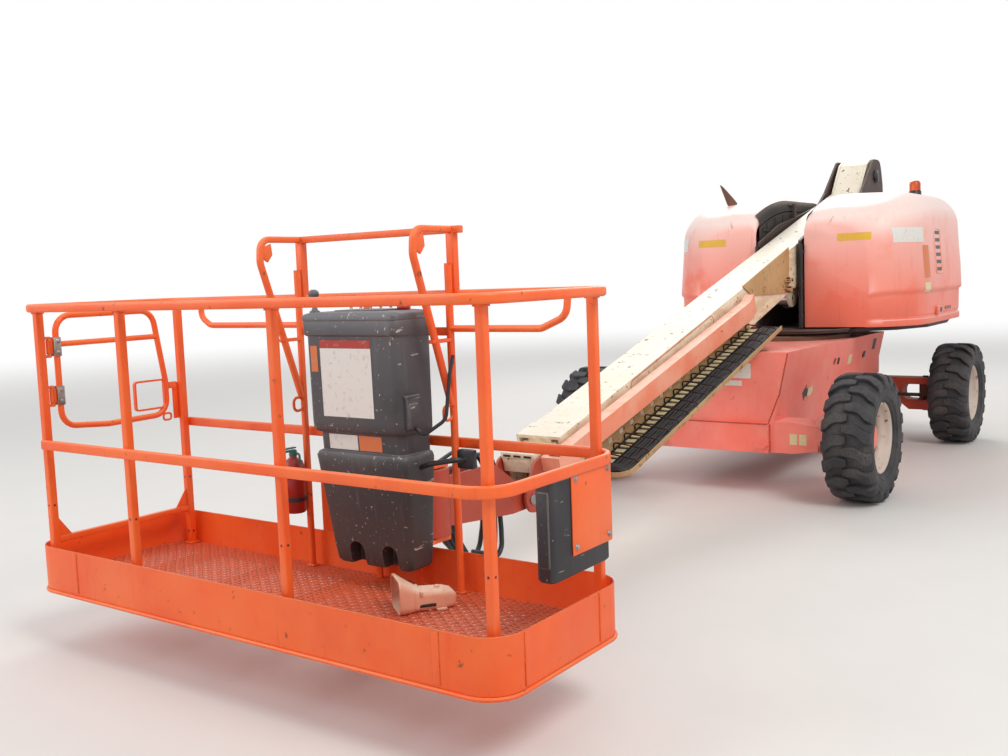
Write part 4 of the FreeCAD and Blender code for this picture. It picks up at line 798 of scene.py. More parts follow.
    def build(self, shop: Shop, finish: str, body: str, slot: str, *stands_for: str, crisp: float = 0.55) -> Piece:
        """Turns the stock into a dressed piece.

        Args:
            shop: The finishes.
            finish: The finish's name.
            body: The body that it rides on.
            slot: The record's material slot; not used.
            stands_for: Solids that it replaces.
            crisp: The angle from which an edge stays crisp.

        Returns:
            The new object.
        """
        self.mesh.transform(self.place)
        for face in self.mesh.faces:
            face.smooth = True
        for edge in self.mesh.edges:
            if len(edge.link_faces) == 2 and edge.calc_face_angle(0) > crisp:
                edge.smooth = False
        data = bpy.data.meshes.new(self.name)
        self.mesh.to_mesh(data)
        self.mesh.free()
        piece = bpy.data.objects.new(self.name, data)
        bpy.context.scene.collection.objects.link(piece)
        shop.dress(piece, finish)
        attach(piece, body)
        if stands_for:
            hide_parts(*stands_for)
        log.info("%s: %d faces on %s", self.name, len(data.polygons), body)
        return piece


@dataclass(frozen=True)
class Studio:
    """The camera at the photograph's angle, the floor and the lamps."""

    camera_at: Point = (7.9247, 2.978, 1.5051)
    heading: float = 0.6246
    pitch: float = 0.0967
    roll: float = -0.0368
    lens: float = 37.471
    aim: Point = (0.5, 0, 1.0)
    sky_light: float = 0.55
    floor_radius: float = 60.0

    def camera(self) -> None:
        """Sets the camera up."""
        data = bpy.data.cameras.new("camera")
        data.lens = self.lens
        data.sensor_width = 36.0
        data.sensor_fit = "HORIZONTAL"
        data.clip_end = 200.0
        spin, tip = self.heading, self.pitch
        ahead = Vector((-cos(spin), -sin(spin), 0))
        right = Vector((-sin(spin), cos(spin), 0))
        forward = ahead * cos(tip) - Vector((0, 0, sin(tip)))
        up = ahead * sin(tip) + Vector((0, 0, cos(tip)))
        across = right * cos(self.roll) + up * sin(self.roll)
        upward = up * cos(self.roll) - right * sin(self.roll)
        turn = Matrix((across, upward, -forward)).transposed().to_4x4()
        camera = bpy.data.objects.new("camera", data)
        bpy.context.scene.collection.objects.link(camera)
        camera.matrix_world = MACHINE @ Matrix.Translation(self.camera_at) @ turn
        bpy.context.scene.camera = camera

    def lamps(self) -> None:
        """Hangs three soft lamps that point at the machine."""
        for name, at, width, watts, tint in (
            ("key", (4.5, 7.5, 9.0), 5.0, 590.0, (1.0, 0.98, 0.95)),
            ("fill", (9.0, -6.0, 5.5), 6.0, 330.0, (0.96, 0.98, 1.0)),
            ("rim", (-8.0, -3.0, 7.0), 5.0, 330.0, (1.0, 1.0, 1.0)),
        ):
            data = bpy.data.lights.new(name, "AREA")
            data.shape = "DISK"
            data.size = width
            data.energy = watts
            data.color = tint
            lamp = bpy.data.objects.new(name, data)
            bpy.context.scene.collection.objects.link(lamp)
            lamp.location = at
            lamp.rotation_euler = (Vector(self.aim) - Vector(at)).to_track_quat("-Z", "Y").to_euler()

    def sky(self) -> None:
        """Makes the world white to look at and softer as a light."""
        world = bpy.data.worlds.new("studio")
        bpy.context.scene.world = world
        world.use_nodes = True
        tree = world.node_tree
        tree.nodes.clear()
        out, back, path, seen, also, level = (
            tree.nodes.new("ShaderNode" + kind)
            for kind in ("OutputWorld", "Background", "LightPath", "Math", "Math", "MapRange")
        )
        back.inputs["Color"].default_value = (1.0, 1.0, 1.0, 1.0)
        seen.operation = also.operation = "ADD"
        also.use_clamp = True
        level.inputs["To Min"].default_value = self.sky_light
        for start, end in (
            (path.outputs["Is Camera Ray"], seen.inputs[0]),
            (path.outputs["Is Glossy Ray"], seen.inputs[1]),
            (seen.outputs[0], also.inputs[0]),
            (path.outputs["Is Transmission Ray"], also.inputs[1]),
            (also.outputs[0], level.inputs["Value"]),
            (level.outputs["Result"], back.inputs["Strength"]),
            (back.outputs["Background"], out.inputs["Surface"]),
        ):
            tree.links.new(start, end)

    def floor(self) -> None:
        """Lays a pale floor that goes over into the white far away."""
        stock = bmesh.new()
        bmesh.ops.create_circle(stock, cap_ends=True, segments=96, radius=self.floor_radius)
        data = bpy.data.meshes.new("floor")
        stock.to_mesh(data)
        stock.free()
        floor = bpy.data.objects.new("floor", data)
        floor.location = (0, 0, -0.0005)
        bpy.context.scene.collection.objects.link(floor)
        shade = Shade("pale floor")
        far = shade.node("VectorMath", {0: shade.place()}, operation="LENGTH").outputs["Value"]
        speck = shade.noise(3.0, 5.0)
        shade.finish(shade.blend(speck, (224, 222, 219), (229, 227, 224)), 0.8, speck, 0.0005)
        glow = shade.node("Emission", {"Color": (1.0, 1.0, 1.0, 1.0)}).outputs["Emission"]
        mix = shade.node("MixShader", {0: shade.span(far, 6.0, 22.0), 1: shade.skin.outputs["BSDF"], 2: glow})
        shade.feed(shade.out.inputs["Surface"], mix.outputs["Shader"])
        data.materials.append(shade.material)

    def build(self) -> None:
        """Sets up the whole studio."""
        self.camera()
        self.sky()
        self.floor()
        self.lamps()
        log.info("studio: camera, floor and lamps")


@dataclass(frozen=True)
class Assembly:
    """A sub-assembly whose pieces get their finishes from one shop."""

    shop: Shop


@dataclass(frozen=True)
class Wheel(Assembly):
    """A tyre with its chevron bars and its dished rim, in the machine's middle frame."""

    name: str
    side: Side
    centre: Point
    bars: int = 18
    bar_width: float = 0.066
    slant: float = 0.048
    bar_radius: float = 0.4
    chamfer: float = 0.004
    widest: float = 0.1495
    studs: int = 8
    stud_circle: float = 0.099

    @property
    def axis(self) -> Point:
        """Gives the direction that the wheel faces."""
        return (0, self.side.value, 0)

    @property
    def turn(self) -> Matrix:
        """Gives the turn from upright to the wheel's axis."""
        return Vector(self.axis).to_track_quat("Z", "Y").to_matrix()

    def start(self, title: str) -> Stock:
        """Starts one of the wheel's pieces."""
        return Stock(title + "_" + self.name, Matrix.Identity(4))

    def tyre(self) -> None:
        """Makes the tyre's body, its bars and the rings on its walls."""
        stock = self.start("tyre_body")
        half = [
            (0.207, 0.098), (0.216, 0.112), (0.232, 0.118), (0.238, 0.129), (0.25, 0.134), (0.256, 0.139),
            (0.27, 0.1435),
            (0.3, 0.1475), (0.33, 0.146), (0.334, 0.1475), (0.34, 0.1475), (0.344, 0.143), (0.356, 0.137),
            (0.368, 0.126),
            (0.378, 0.104), (0.3825, 0.074), (0.384, 0.03), (0.384, 0),
        ]
        stock.turned(half + [(r, -z) for r, z in reversed(half[:-1])], self.centre, self.axis, 96)
        stations = (
            (-0.012, 0.3825, 0.407, 0, 0.62), (0.014, 0.3825, 0.4085, 0, 0.86), (0.052, 0.382, 0.4085, 0, 0.94),
            (0.078, 0.381, 0.4075, 0.18, 1.0), (0.102, 0.376, 0.405, 0.62, 1.06), (0.12, 0.37, 0.4, 0.92, 1.1),
            (0.135, 0.356, 0.39, 1.04, 1.12), (0.1445, 0.338, 0.372, 1.08, 1.06), (0.1485, 0.318, 0.349, 1.08, 0.9),
        )
        for i in range(self.bars):
            for hand in (-1, 1):
                start = 2 * pi * (i + 0.25 * hand) / self.bars
                stock.loft([self.bar_ring(start, hand, *station) for station in stations])
        for ring_radius, z, thick in ((0.262, 0.1425, 0.0016), (0.318, 0.148, 0.0014)):
            for face in (-1, 1):
                ring = [(ring_radius - 0.004, face * (z - 0.001)), (ring_radius - 0.002, face * (z + thick)),
                        (ring_radius + 0.002, face * (z + thick)), (ring_radius + 0.004, face * (z - 0.001))]
                stock.turned(ring, self.centre, self.axis, 96)
        stock.build(self.shop, "tyre rubber", "wheel_" + self.name, "tyre", "tyre_" + self.name, crisp=0.5)

    def bar_ring(self, start: float, hand: int, z: float, low: float, high: float, along: float,
                 wide: float) -> list[Vector]:
        """Gives one ring of a tread bar.

        Args:
            start: The bar's angle at the tyre's middle.
            hand: 1 or -1, the half of the tread that it is on.
            z: How far the ring is from the tyre's middle.
            low: The radius of its foot.
            high: The radius of its top.
            along: How much of the slant it has reached.
            wide: Its width as a share of the bar's.

        Returns:
            The ring's points.
        """
        ring = []
        half, ease = self.bar_width * wide / 2, self.chamfer
        for a, r in ((-half - ease, low), (half + ease, low), (half, high - ease), (half - ease, high),
                     (-half + ease, high), (-half, high - ease)):
            angle = start + (self.slant * along + a) / self.bar_radius
            lean = ease if r >= high - 0.006 and z > 0.13 else 0.0
            spot = Vector((r * cos(angle), r * sin(angle), hand * min(z + lean, self.widest)))
            ring.append(Vector(self.centre) + self.turn @ spot)
        return ring

    def rim(self) -> None:
        """Makes the rim's open ring."""
        stock = self.start("rim_body")
        outer = [
            (0.176, 0.04), (0.179, 0.058), (0.186, 0.064), (0.194, 0.078), (0.2015, 0.086), (0.2025, 0.1),
            (0.209, 0.106), (0.214, 0.117),
            (0.22, 0.119), (0.2255, 0.1165), (0.2255, 0.113), (0.221, 0.1125), (0.2125, 0.103), (0.2095, 0.098),
            (0.2095, 0.078), (0.186, 0.058), (0.186, -0.058), (0.2095, -0.078), (0.2095, -0.098), (0.2255, -0.116),
            (0.22, -0.119), (0.214, -0.117), (0.2025, -0.1), (0.2015, -0.086), (0.179, -0.058), (0.176, 0),
        ]
        stock.turned(outer, self.centre, self.axis, 72, closed=True)
        stock.build(self.shop, "rim cream", "wheel_" + self.name, "rim_paint", "rim_" + self.name)

    def disc(self) -> None:
        """Makes the dished disc inside the rim."""
        stock = self.start("rim_disc")
        dish = [
            (0.076, 0.014), (0.122, 0.014), (0.13, 0.018), (0.142, 0.03), (0.156, 0.034), (0.168, 0.03),
            (0.1775, 0.036),
            (0.1775, 0.02), (0.165, 0.01), (0.15, 0.006), (0.122, 0.004), (0.076, 0.004),
        ]
        stock.turned(dish, self.centre, self.axis, 72, closed=True)
        for k in range(6):
            angle = 2 * pi * k / 6
            spot = Vector(self.centre) + self.turn @ Vector((0.154 * cos(angle), 0.154 * sin(angle), 0.0325))
            stock.turned([(0.012, 0), (0.012, 0.004), (0.009, 0.004), (0.009, 0)], spot, self.axis, 20, closed=True)
        # Dressed darker than the rim: partly rust and dirt, partly painted shade inside the rim.
        stock.build(self.shop, "rim dish", "wheel_" + self.name, "rim_paint")

    def hub_ring(self) -> None:
        """Makes the ring with the wheel's studs and nuts."""
        ring = self.start("hub_ring")
        x, y, z = self.centre
        side = self.side.value
        face = y + side * 0.014
        profile = [(0.0765, 0), (0.118, 0), (0.118, 0.007), (0.113, 0.01), (0.084, 0.01), (0.0765, 0.016)]
        ring.turned(profile, (x, face, z), self.axis, 48, closed=True)
        for i in range(self.studs):
            angle = 2 * pi * (i + 0.5) / self.studs
            across, up = self.stud_circle * cos(angle), self.stud_circle * sin(angle)
            at = (x + across, face + side * 0.009, z + up)
            ring.bolt(at, self.axis, 0.0125)
            ring.rod(at, (at[0], at[1] + side * 0.022, at[2]), 0.006, 10)
        ring.build(self.shop, "axle drab", "wheel_" + self.name, "pin_steel")

    def build(self) -> None:
        """Makes one wheel."""
        self.tyre()
        self.rim()
        self.disc()
        self.hub_ring()


@dataclass(frozen=True)
class Cover(Assembly):
    """A moulded cover: one curved skin with a crease, a lip and vents."""

    name: str
    side: Side
    inner: float = 0.19
    outer: float = 1.0
    front: float = 0.13
    rear: float = -1.7
    bottom: float = 1.034
    top: float = 2.058
    crease: float = 1.285
    front_curve: float = 0.62
    rear_curve: float = 0.52
    nose: float = 0.75
    tail: float = 0.42
    gap: float = 0.003

    def width_at(self, x: float) -> float:
        """Gives the cover's outer edge in plan.

        Args:
            x: The place along the machine.

        Returns:
            How far out the cover reaches.
        """
        ahead = (x - (self.front - self.front_curve)) / self.front_curve
        behind = ((self.rear + self.rear_curve) - x) / self.rear_curve
        if ahead > 0:
            return self.inner + (self.outer - self.inner) * (1 - 0.34 * min(1.0, ahead) ** 3.4)
        if behind > 0:
            return self.inner + (self.outer - self.inner) * (1 - 0.22 * min(1.0, behind) ** 2.2)
        return self.outer

    def height_at(self, x: float) -> float:
        """Gives the cover's top edge from the side.

        Args:
            x: The place along the machine.

        Returns:
            The height of the top.
        """
        ahead = (x - (self.front - self.nose)) / self.nose
        behind = ((self.rear + self.tail) - x) / self.tail
        if ahead > 0:
            return self.top - 0.165 * min(1.0, ahead) ** 1.9
        if behind > 0:
            return self.top - 0.2 * min(1.0, behind) ** 2.0
        return self.top

    def section(self, x: float, shrink: float = 1.0) -> list[Point]:
        """Gives the skin's section at one place.

        Args:
            x: The place along the machine.
            shrink: 1 for the full section, and less towards the ends.

        Returns:
            The points from the inner edge over the top down to the lip.
        """
        wide, top = self.width_at(x), self.height_at(x)
        inner, bottom, crease = self.inner, self.bottom, self.crease
        points: list[Flat] = [(inner + 0.02, bottom + 0.002), (inner + 0.006, bottom), (inner, bottom + 0.006),
                              (inner, top - 0.3), (inner, top - 0.075)]
        for k in range(7):
            angle = pi * (1 - k / 14.0)
            points.append((inner + 0.085 + 0.085 * cos(angle), top - 0.075 + 0.072 * sin(angle)))
        points += [(inner + 0.22, top - 0.001), (wide - 0.34, top - 0.012)]
        for k in range(10):
            angle = pi / 2 * (1 - k / 9.0)
            height = top - 0.29 + 0.272 * sin(angle) ** 0.9 if angle > 0 else top - 0.3
            points.append((wide - 0.3 + 0.27 * cos(angle), height))
        points += [(wide - 0.022, top - 0.42), (wide - 0.008, top - 0.58), (wide - 0.002, crease + 0.03),
                   (wide, crease + 0.012), (wide - 0.004, crease), (wide - 0.018, crease - 0.012),
                   (wide - 0.02, crease - 0.03), (wide - 0.022, bottom + 0.075), (wide - 0.028, bottom + 0.07),
                   (wide - 0.028, bottom + 0.05), (wide - 0.016, bottom + 0.044), (wide - 0.016, bottom + 0.004),
                   (wide - 0.02, bottom), (wide - 0.034, bottom), (wide - 0.036, bottom + 0.003)]
        side = self.side.value
        return [(x, side * (inner + (y - inner) * shrink), bottom + (z - bottom) * shrink) for y, z in points]

    def outer_at(self, x: float, z: float) -> float:
        """Gives how far out the skin is at a height.

        Args:
            x: The place along the machine.
            z: The height.

        Returns:
            The distance from the machine's middle.
        """
        outline = [(abs(y), h) for _, y, h in self.section(x) if abs(y) > self.width_at(x) - 0.2]
        for (y0, z0), (y1, z1) in zip(outline, outline[1:]):
            if z1 <= z <= z0 and z0 > z1:
                return y1 + (y0 - y1) * (z - z1) / (z0 - z1)
        return self.width_at(x)

    def skin(self) -> bmesh.types.BMesh:
        """Lofts the cover's skin.

        Returns:
            The skin, still open at its inner side.
        """
        mesh = bmesh.new()
        rows: list[tuple[float, float]] = []
        for k in range(0, 8):
            angle = pi / 2 * k / 7
            rows.append((self.rear + 0.1 * (1 - cos(angle)), 0.93 + 0.07 * sin(angle)))
        for k in range(1, 30):
            rows.append((self.rear + 0.1 + (self.front - 0.13 - self.rear - 0.1) * k / 30.0, 1.0))
        for k in range(0, 9):
            angle = pi / 2 * k / 8
            rows.append((self.front - 0.13 + 0.13 * sin(angle), 0.9 + 0.1 * cos(angle)))
        made = [[mesh.verts.new(p) for p in self.section(x, shrink)] for x, shrink in rows]
        for near, far in zip(made, made[1:]):
            for k in range(4, len(near) - 1):
                mesh.faces.new((near[k], near[k + 1], far[k + 1], far[k]))
        for end in (made[0], made[-1]):
            mesh.faces.new(end)
        bmesh.ops.recalc_face_normals(mesh, faces=mesh.faces)
        return mesh

    def dress(self, stock: Stock, finish: str) -> Piece:
        """Turns a stock into a piece that swings with this cover."""
        return stock.build(self.shop, finish, "cover_" + self.name, "hood_paint")

    def marks(self, skin: Piece) -> None:
        """Makes the slots as black sheets of painted shade, the recess' frame and the blank labels on the skin.

        Args:
            skin: The cover's skin.
        """
        s = self.side.value
        out = (0, s, 0)
        # The vent slots are black sheets: painted shade in the openings.
        slots = Stock("cover_slots_" + self.name)
        for k in range(6):
            slots.decal(skin, (-0.56, s, 1.44 + 0.055 * k), out, (0.14, 0.026), 3, 0.0015)
        slots.decal(skin, (-0.62, s, 1.125), out, (0.2, 0.034), 4, 0.0015)
        for k in range(4):
            slots.decal(skin, (-0.82 - 0.055 * k, s, 1.125), out, (0.03, 0.04), 2, 0.0015)
        for k in range(7):
            slots.decal(skin, (self.rear, s * 0.52, 1.3 + 0.05 * k), (-1, 0, 0), (0.36, 0.02), 4, 0.0015)
        self.dress(slots, "label black")
        frames = Stock("cover_frames_" + self.name)
        edge = [(-0.47, 0, 1.41), (-0.47, 0, 1.745), (-0.65, 0, 1.745), (-0.65, 0, 1.41)]
        path = [(p.x, s * (self.outer_at(p.x, p.z) + 0.001), p.z) for p in bend(edge, 0.03, closed=True, steps=5)]
        frames.sweep(path, round_section(0.006, 8), closed=True, upright=(0, 1, 0))
        frames.block((-0.575, s * 0.975, 1.09), (-0.525, s * 0.998, 1.16), 0.005)
        self.dress(frames, "cover salmon")
        for finish, title, centre, faces, size in (
            ("label white", "card", (-0.1, s, 1.7), out, (0.26, 0.11)),
            ("label yellow", "strip", (self.front, s * 0.56, 1.7), (1, 0, 0), (0.24, 0.055)),
            ("label orange", "notes", (-0.26, s, 1.5), out, (0.1, 0.24)),
            ("label cream", "note", (-0.26, s, 1.31), out, (0.1, 0.07)),
        ):
            label = Stock(f"cover_{title}_{self.name}")
            self.dress(label.decal(skin, centre, faces, size, 8), finish)

    def inside(self) -> None:
        """Makes the rolled liner under the top and the partition beside the boom."""
        s, rear, bottom = self.side.value, self.rear, self.bottom
        liner = Stock("cover_liner_" + self.name)
        rows = []
        wall = [(rear + 0.12, bottom + 0.012)]
        for k in range(25):
            x = rear + 0.12 + (self.front - 0.06 - rear - 0.12) * k / 24
            top = self.height_at(x)
            wall.append((x, top - 0.112))
            line = [(x, s * (self.inner - self.gap), top - 0.104)]
            for j in range(5):
                angle = pi * (1 - j / 14.0)
                line.append((x, s * (self.inner + 0.085 + 0.088 * cos(angle)), top - 0.075 + 0.075 * sin(angle)))
            rows.append([liner.mesh.verts.new(point) for point in line])
        for near, far in zip(rows, rows[1:]):
            for j in range(len(near) - 1):
                liner.mesh.faces.new((near[j], near[j + 1], far[j + 1], far[j]))
        self.dress(liner, "inner iron")
        partition = Stock("partition_" + self.name)
        wall.append((self.front - 0.06, bottom + 0.012))
        face = s * (self.inner - self.gap)
        partition.plate(wall, Plane.XZ, face, 0.003, 0)
        for k in range(9):
            x = rear + 0.25 + 0.17 * k
            foot = (x, s * (self.inner - 0.008), bottom + 0.08)
            partition.block(foot, (x + 0.012, face, self.height_at(x) - 0.13), 0.001)
        partition.block((rear + 0.2, s * (self.inner - 0.01), 1.78), (self.front - 0.12, face, 1.8), 0.001)
        partition.build(self.shop, "inner iron", "turntable", "dark_steel")

    def build(self) -> None:
        """Makes one cover."""
        stock = Stock("cover_skin_" + self.name)
        stock.mesh.free()
        stock.mesh = self.skin()
        skin = stock.build(self.shop, "cover salmon", "cover_" + self.name, "hood_paint", "hood_" + self.name,
                           crisp=0.8)
        self.marks(skin)
        self.inside()
        sleeves = Stock("cover_hinges_" + self.name)
        y = self.side.value * 0.184
        for hinge in (-0.62, -1.2):
            for step in (-0.037, 0.022):
                sleeves.rod((hinge + step, y, 2.0), (hinge + step + 0.015, y, 2.0), 0.013)
        self.dress(sleeves, "black enamel")


@dataclass(frozen=True)
class CarriedSolids(Assembly):
    """Solids whose shape is right: they only get their finish."""

    nodes: dict[str, Piece]
    finishes: tuple[tuple[str, str], ...] = (
        ("chassis_frame", "chassis salmon"), ("slewing_ring", "axle drab"), ("drive_axle", "chassis salmon"),
        ("steer_axle", "axle red"), ("steering_cylinder", "black enamel"), ("steering_knuckle_left", "axle drab"),
        ("steering_knuckle_right", "axle drab"), ("turntable_frame", "tower brown"), ("pivot_pins", "pin steel"),
        ("counterweight", "counterweight salmon"), ("engine_and_tanks", "inner iron"),
        ("base_boom", "boom cream"), ("boom_lift_lugs", "boom cream"),
        ("boom_side_bracket", "tray cream"), ("fly_boom", "boom cream"),
        ("boom_nose", "nose red"), ("push_tube", "push salmon"), ("lift_cylinder_barrel", "black enamel"),
        ("lift_cylinder_rod", "rod chrome"), ("levelling_link", "nose red"), ("levelling_pin", "pin steel"),
        ("rotator", "nose red"), ("platform_support", "platform orange"), ("platform_floor_frame", "platform orange"),
    )

    def build(self) -> None:
        """Dresses the solids that stay."""
        for name, finish in self.finishes:
            self.shop.dress(self.nodes[name], finish)
        log.info("carried solids: %d dressed", len(self.finishes))


@dataclass(frozen=True)
class Platform(Assembly):
    """The work platform: rails, posts, toe board, mesh floor and guard."""

    x: float = 5.18
    half_x: float = 0.38
    half_y: float = 1.22
    corner: float = 0.12
    floor: float = 0.3
    rail_top: float = 1.461
    rail: float = 0.034
    mid: float = 0.88
    toe_low: float = 0.262
    toe_top: float = 0.45
    gate_y: float = -1.11

    def loop(self, inset: float, z: float) -> list[Vector]:
        """Gives a loop round the platform.

        Args:
            inset: How far it lies inside the platform's edge.
            z: Its height.

        Returns:
            The loop's points.
        """
        hx, hy = self.half_x - inset, self.half_y - inset
        corners = [(self.x + hx, -hy, z), (self.x + hx, hy, z), (self.x - hx, hy, z), (self.x - hx, -hy, z)]
        return bend(corners, self.corner - inset, closed=True, steps=8)

    def rails(self) -> None:
        """Makes the top rail, the mid rail and the posts."""
        floor, gate_y = self.floor, self.gate_y
        z = self.rail_top - self.rail / 2
        top = Stock("top_rail_tube")
        top.sweep(self.loop(self.rail / 2, z), box_section(self.rail, self.rail, 0.01), closed=True)
        top.build(self.shop, "platform orange", "platform", "platform_paint", "top_rail")
        mid = Stock("mid_rail_tube")
        hx, hy = self.half_x - 0.01, self.half_y - 0.01
        corners = [(self.x + hx, -1.1, self.mid), (self.x + hx, hy, self.mid), (self.x - hx, hy, self.mid),
                   (self.x - hx, -1.1, self.mid)]
        mid.sweep(bend(corners, 0.11, steps=8), box_section(0.02, 0.04, 0.007))
        mid.build(self.shop, "platform orange", "platform", "platform_paint", "mid_rail")
        posts = Stock("platform_post_set")
        front, back, under = self.x + self.half_x, self.x - self.half_x, self.rail_top - self.rail
        spots = [(front - 0.068, self.half_y - 0.068), (back + 0.068, self.half_y - 0.068), (front - 0.036, gate_y),
                 (back + 0.036, gate_y), (front - 0.036, 0.3), (front - 0.036, -0.55)]
        for px, py in spots:
            posts.sweep([(px, py, floor + 0.001), (px, py, under)], box_section(0.032, 0.032, 0.005),
                        upright=(0, 1, 0))
            posts.block((px - 0.026, py - 0.026, floor), (px + 0.026, py + 0.026, floor + 0.008), 0.002)
            for wy in (py - 0.017, py + 0.017):
                posts.sweep([(px - 0.017, wy, under - 0.003), (px + 0.017, wy, under - 0.003)],
                            round_section(0.004, 6))
        sill = self.toe_top + 0.02
        hinge, latch = front - 0.052, back + 0.052
        posts.block((latch - 0.002, gate_y - 0.013, sill - 0.013), (hinge + 0.002, gate_y + 0.013, sill + 0.013),
                    0.004)
        for gx, sx in ((hinge, -1), (latch, 1)):
            posts.plate([(gx - sx * 0.002, sill + 0.01), (gx + sx * 0.063, sill + 0.01),
                         (gx - sx * 0.002, sill + 0.1)], Plane.XZ, gate_y, 0.006)
        for gz in HINGES:
            posts.rod((hinge - 0.019, gate_y, gz - 0.044), (hinge - 0.019, gate_y, gz + 0.044), 0.005, 12)
            for dz in (-0.044, 0.032):
                posts.block((hinge - 0.028, gate_y - 0.009, gz + dz),
                            (hinge + 0.001, gate_y + 0.009, gz + dz + 0.012), 0.002)
        posts.block((back + 0.002, gate_y - 0.022, 0.9), (latch + 0.026, gate_y - 0.015, 1.07), 0.0015)
        for gz in (0.93, 1.04):
            posts.bolt((back + 0.03, gate_y - 0.022, gz), (0, -1, 0), 0.007)
        posts.build(self.shop, "platform orange", "platform", "platform_paint", "platform_posts")
        # The holes through the posts are black plugs: painted shade in the holes.
        holes = Stock("post_holes")
        for px, py in spots:
            for hz in (0.36, 0.62):
                for dx, dy in ((0, 0.0164), (0.0164, 0)):
                    holes.rod((px - dx, py - dy, hz), (px + dx, py + dy, hz), 0.005, 12, 0.0005)
        holes.build(self.shop, "label black", "platform", "platform_paint")

    def toe_board(self) -> None:
        """Makes the toe board with its rolled lip and seams."""
        toe_low, toe_top = self.toe_low, self.toe_top
        board = Stock("toe_board_sheet")
        section: list[Flat] = [(-0.002, 0.188), (-0.004, 0.186), (-0.004, 0.01)]
        for k in range(9):
            angle = radians(150 - 270 * k / 8)
            section.append((0.0002 + 0.0075 * cos(angle), -0.0025 + 0.0075 * sin(angle)))
        section += [(-0.0005, 0.012), (0, 0.186)]
        board.sweep(self.loop(0, toe_low), section, closed=True)
        for y in (-0.92, 0.98):
            board.block((self.x + self.half_x - 0.004, y - 0.014, toe_low + 0.014),
                        (self.x + self.half_x + 0.0025, y + 0.014, toe_top - 0.004), 0.0015)
        for x in (4.98, 5.42):
            board.block((x - 0.012, self.half_y - 0.004, toe_low + 0.014),
                        (x + 0.012, self.half_y + 0.0035, toe_top - 0.004), 0.0015)
        board.build(self.shop, "platform orange", "platform", "platform_paint", "toe_board")

    def mesh_floor(self) -> None:
        """Makes the expanded metal floor strand by strand."""
        floor = Stock("expanded_floor")
        pitch_x, pitch_y = 0.0235, 0.06
        low_x, high_x = self.x - self.half_x + 0.012, self.x + self.half_x - 0.012
        low_y, high_y = -self.half_y + 0.012, self.half_y - 0.012
        z = self.floor - 0.0018
        rows = int((high_x - low_x) / pitch_x)
        steps = int((high_y - low_y) / (pitch_y / 2))
        corner = self.corner - 0.012
        for i in range(rows):
            lane = low_x + (i + 0.5) * (high_x - low_x) / rows
            for hand in (-1, 1):
                points = []
                for j in range(steps + 1):
                    y = low_y + (high_y - low_y) * j / steps
                    lift = hand * (pitch_x / 2 - 0.001) * (1 if (j + i) % 2 else -1) * (1 if hand == 1 else -1)
                    x = lane + hand * abs(lift) * (0.0 if (j + i) % 2 else 1.0)
                    edge = max(0, abs(y) - (high_y - corner))
                    room = self.half_x - 0.012 - corner + sqrt(max(0, corner ** 2 - edge ** 2))
                    if abs(x - self.x) < room:
                        points.append((x, y, z + (0.0012 if (j + i) % 2 else -0.0006)))
                if len(points) > 1:
                    floor.sweep(points, [(-0.0044, -0.0014), (0.0044, -0.0014), (0.0044, 0.0014), (-0.0044, 0.0014)])
        floor.sweep(self.loop(0.011, z - 0.002), [(-0.006, -0.001), (0.006, -0.001), (0.006, 0.002), (-0.006, 0.002)],
                    closed=True)
        floor.build(self.shop, "mesh orange", "platform", "mesh_paint", "platform_floor_mesh")

    def guard(self) -> None:
        """Makes the hoops over the console, their bar and the grab bars."""
        floor = self.floor
        guard = Stock("console_guard_tube")
        back = self.x - self.half_x
        x0, x1, top, r = back + 0.017, back + 0.215, 1.7, 0.013
        gx = back + 0.047
        tube = box_section(0.026, 0.026, 0.009)
        for gy in (-0.285, 0.52):
            guard.block((x0 - 0.017, gy - 0.017, self.rail_top - 0.004), (x0 + 0.017, gy + 0.017, top - r), 0.003)
            upper = [(x0 - 0.004, gy, top - r), (x1 + 0.022, gy, top - r), (x1 + 0.03, gy, top - 0.105),
                     (back + 0.058, gy, self.mid + 0.15)]
            guard.sweep(bend(upper, 0.075, steps=8), tube, upright=(0, 1, 0))
            guard.sweep([(gx, gy, floor + 0.002), (gx, gy, self.rail_top + 0.1)], tube, upright=(0, 1, 0))
            guard.block((back + 0.034, gy - 0.02, floor), (back + 0.062, gy + 0.02, floor + 0.008), 0.002)
            lug = [(x1 - 0.03, top - 0.03), (x1 + 0.012, top - 0.045), (x1 + 0.016, top - 0.09),
                   (x1 - 0.01, top - 0.105), (x1 - 0.036, top - 0.075)]
            guard.plate(lug, Plane.XZ, gy, 0.008)
            guard.block((back + 0.04, gy - 0.012, 1.268), (back + 0.165, gy + 0.012, 1.282), 0.003)
            ring = [(back + 0.056, gy, 0.975), (back + 0.106, gy, 0.975), (back + 0.106, gy, 1.03),
                    (back + 0.056, gy, 1.03)]
            guard.sweep(bend(ring, 0.02, closed=True, steps=5), round_section(0.006, 8), closed=True,
                        upright=(0, 1, 0))
        guard.block((x0 - 0.015, -0.305, top - 2 * r - 0.002), (x0 + 0.015, 0.565, top - 0.0005), 0.004)
        grab = round_section(0.013, 14)
        right = [(gx, 0.52, 1.317), (gx, 0.93, 1.317), (gx, 1.035, 1.36), (gx, 1.043, 1.43)]
        left = [(gx, -0.285, 1.333), (gx, -0.86, 1.333), (gx, -0.92, 1.37), (gx, -0.92, 1.43)]
        for run in (right, left):
            guard.sweep(bend(run, 0.06, steps=7), grab, upright=(1, 0, 0))
        for z in (floor + 0.26, 1.25):
            guard.block((back + 0.034, 0.05, z), (back + 0.06, 0.35, z + 0.06), 0.003)
        for sy in (-1, 1):
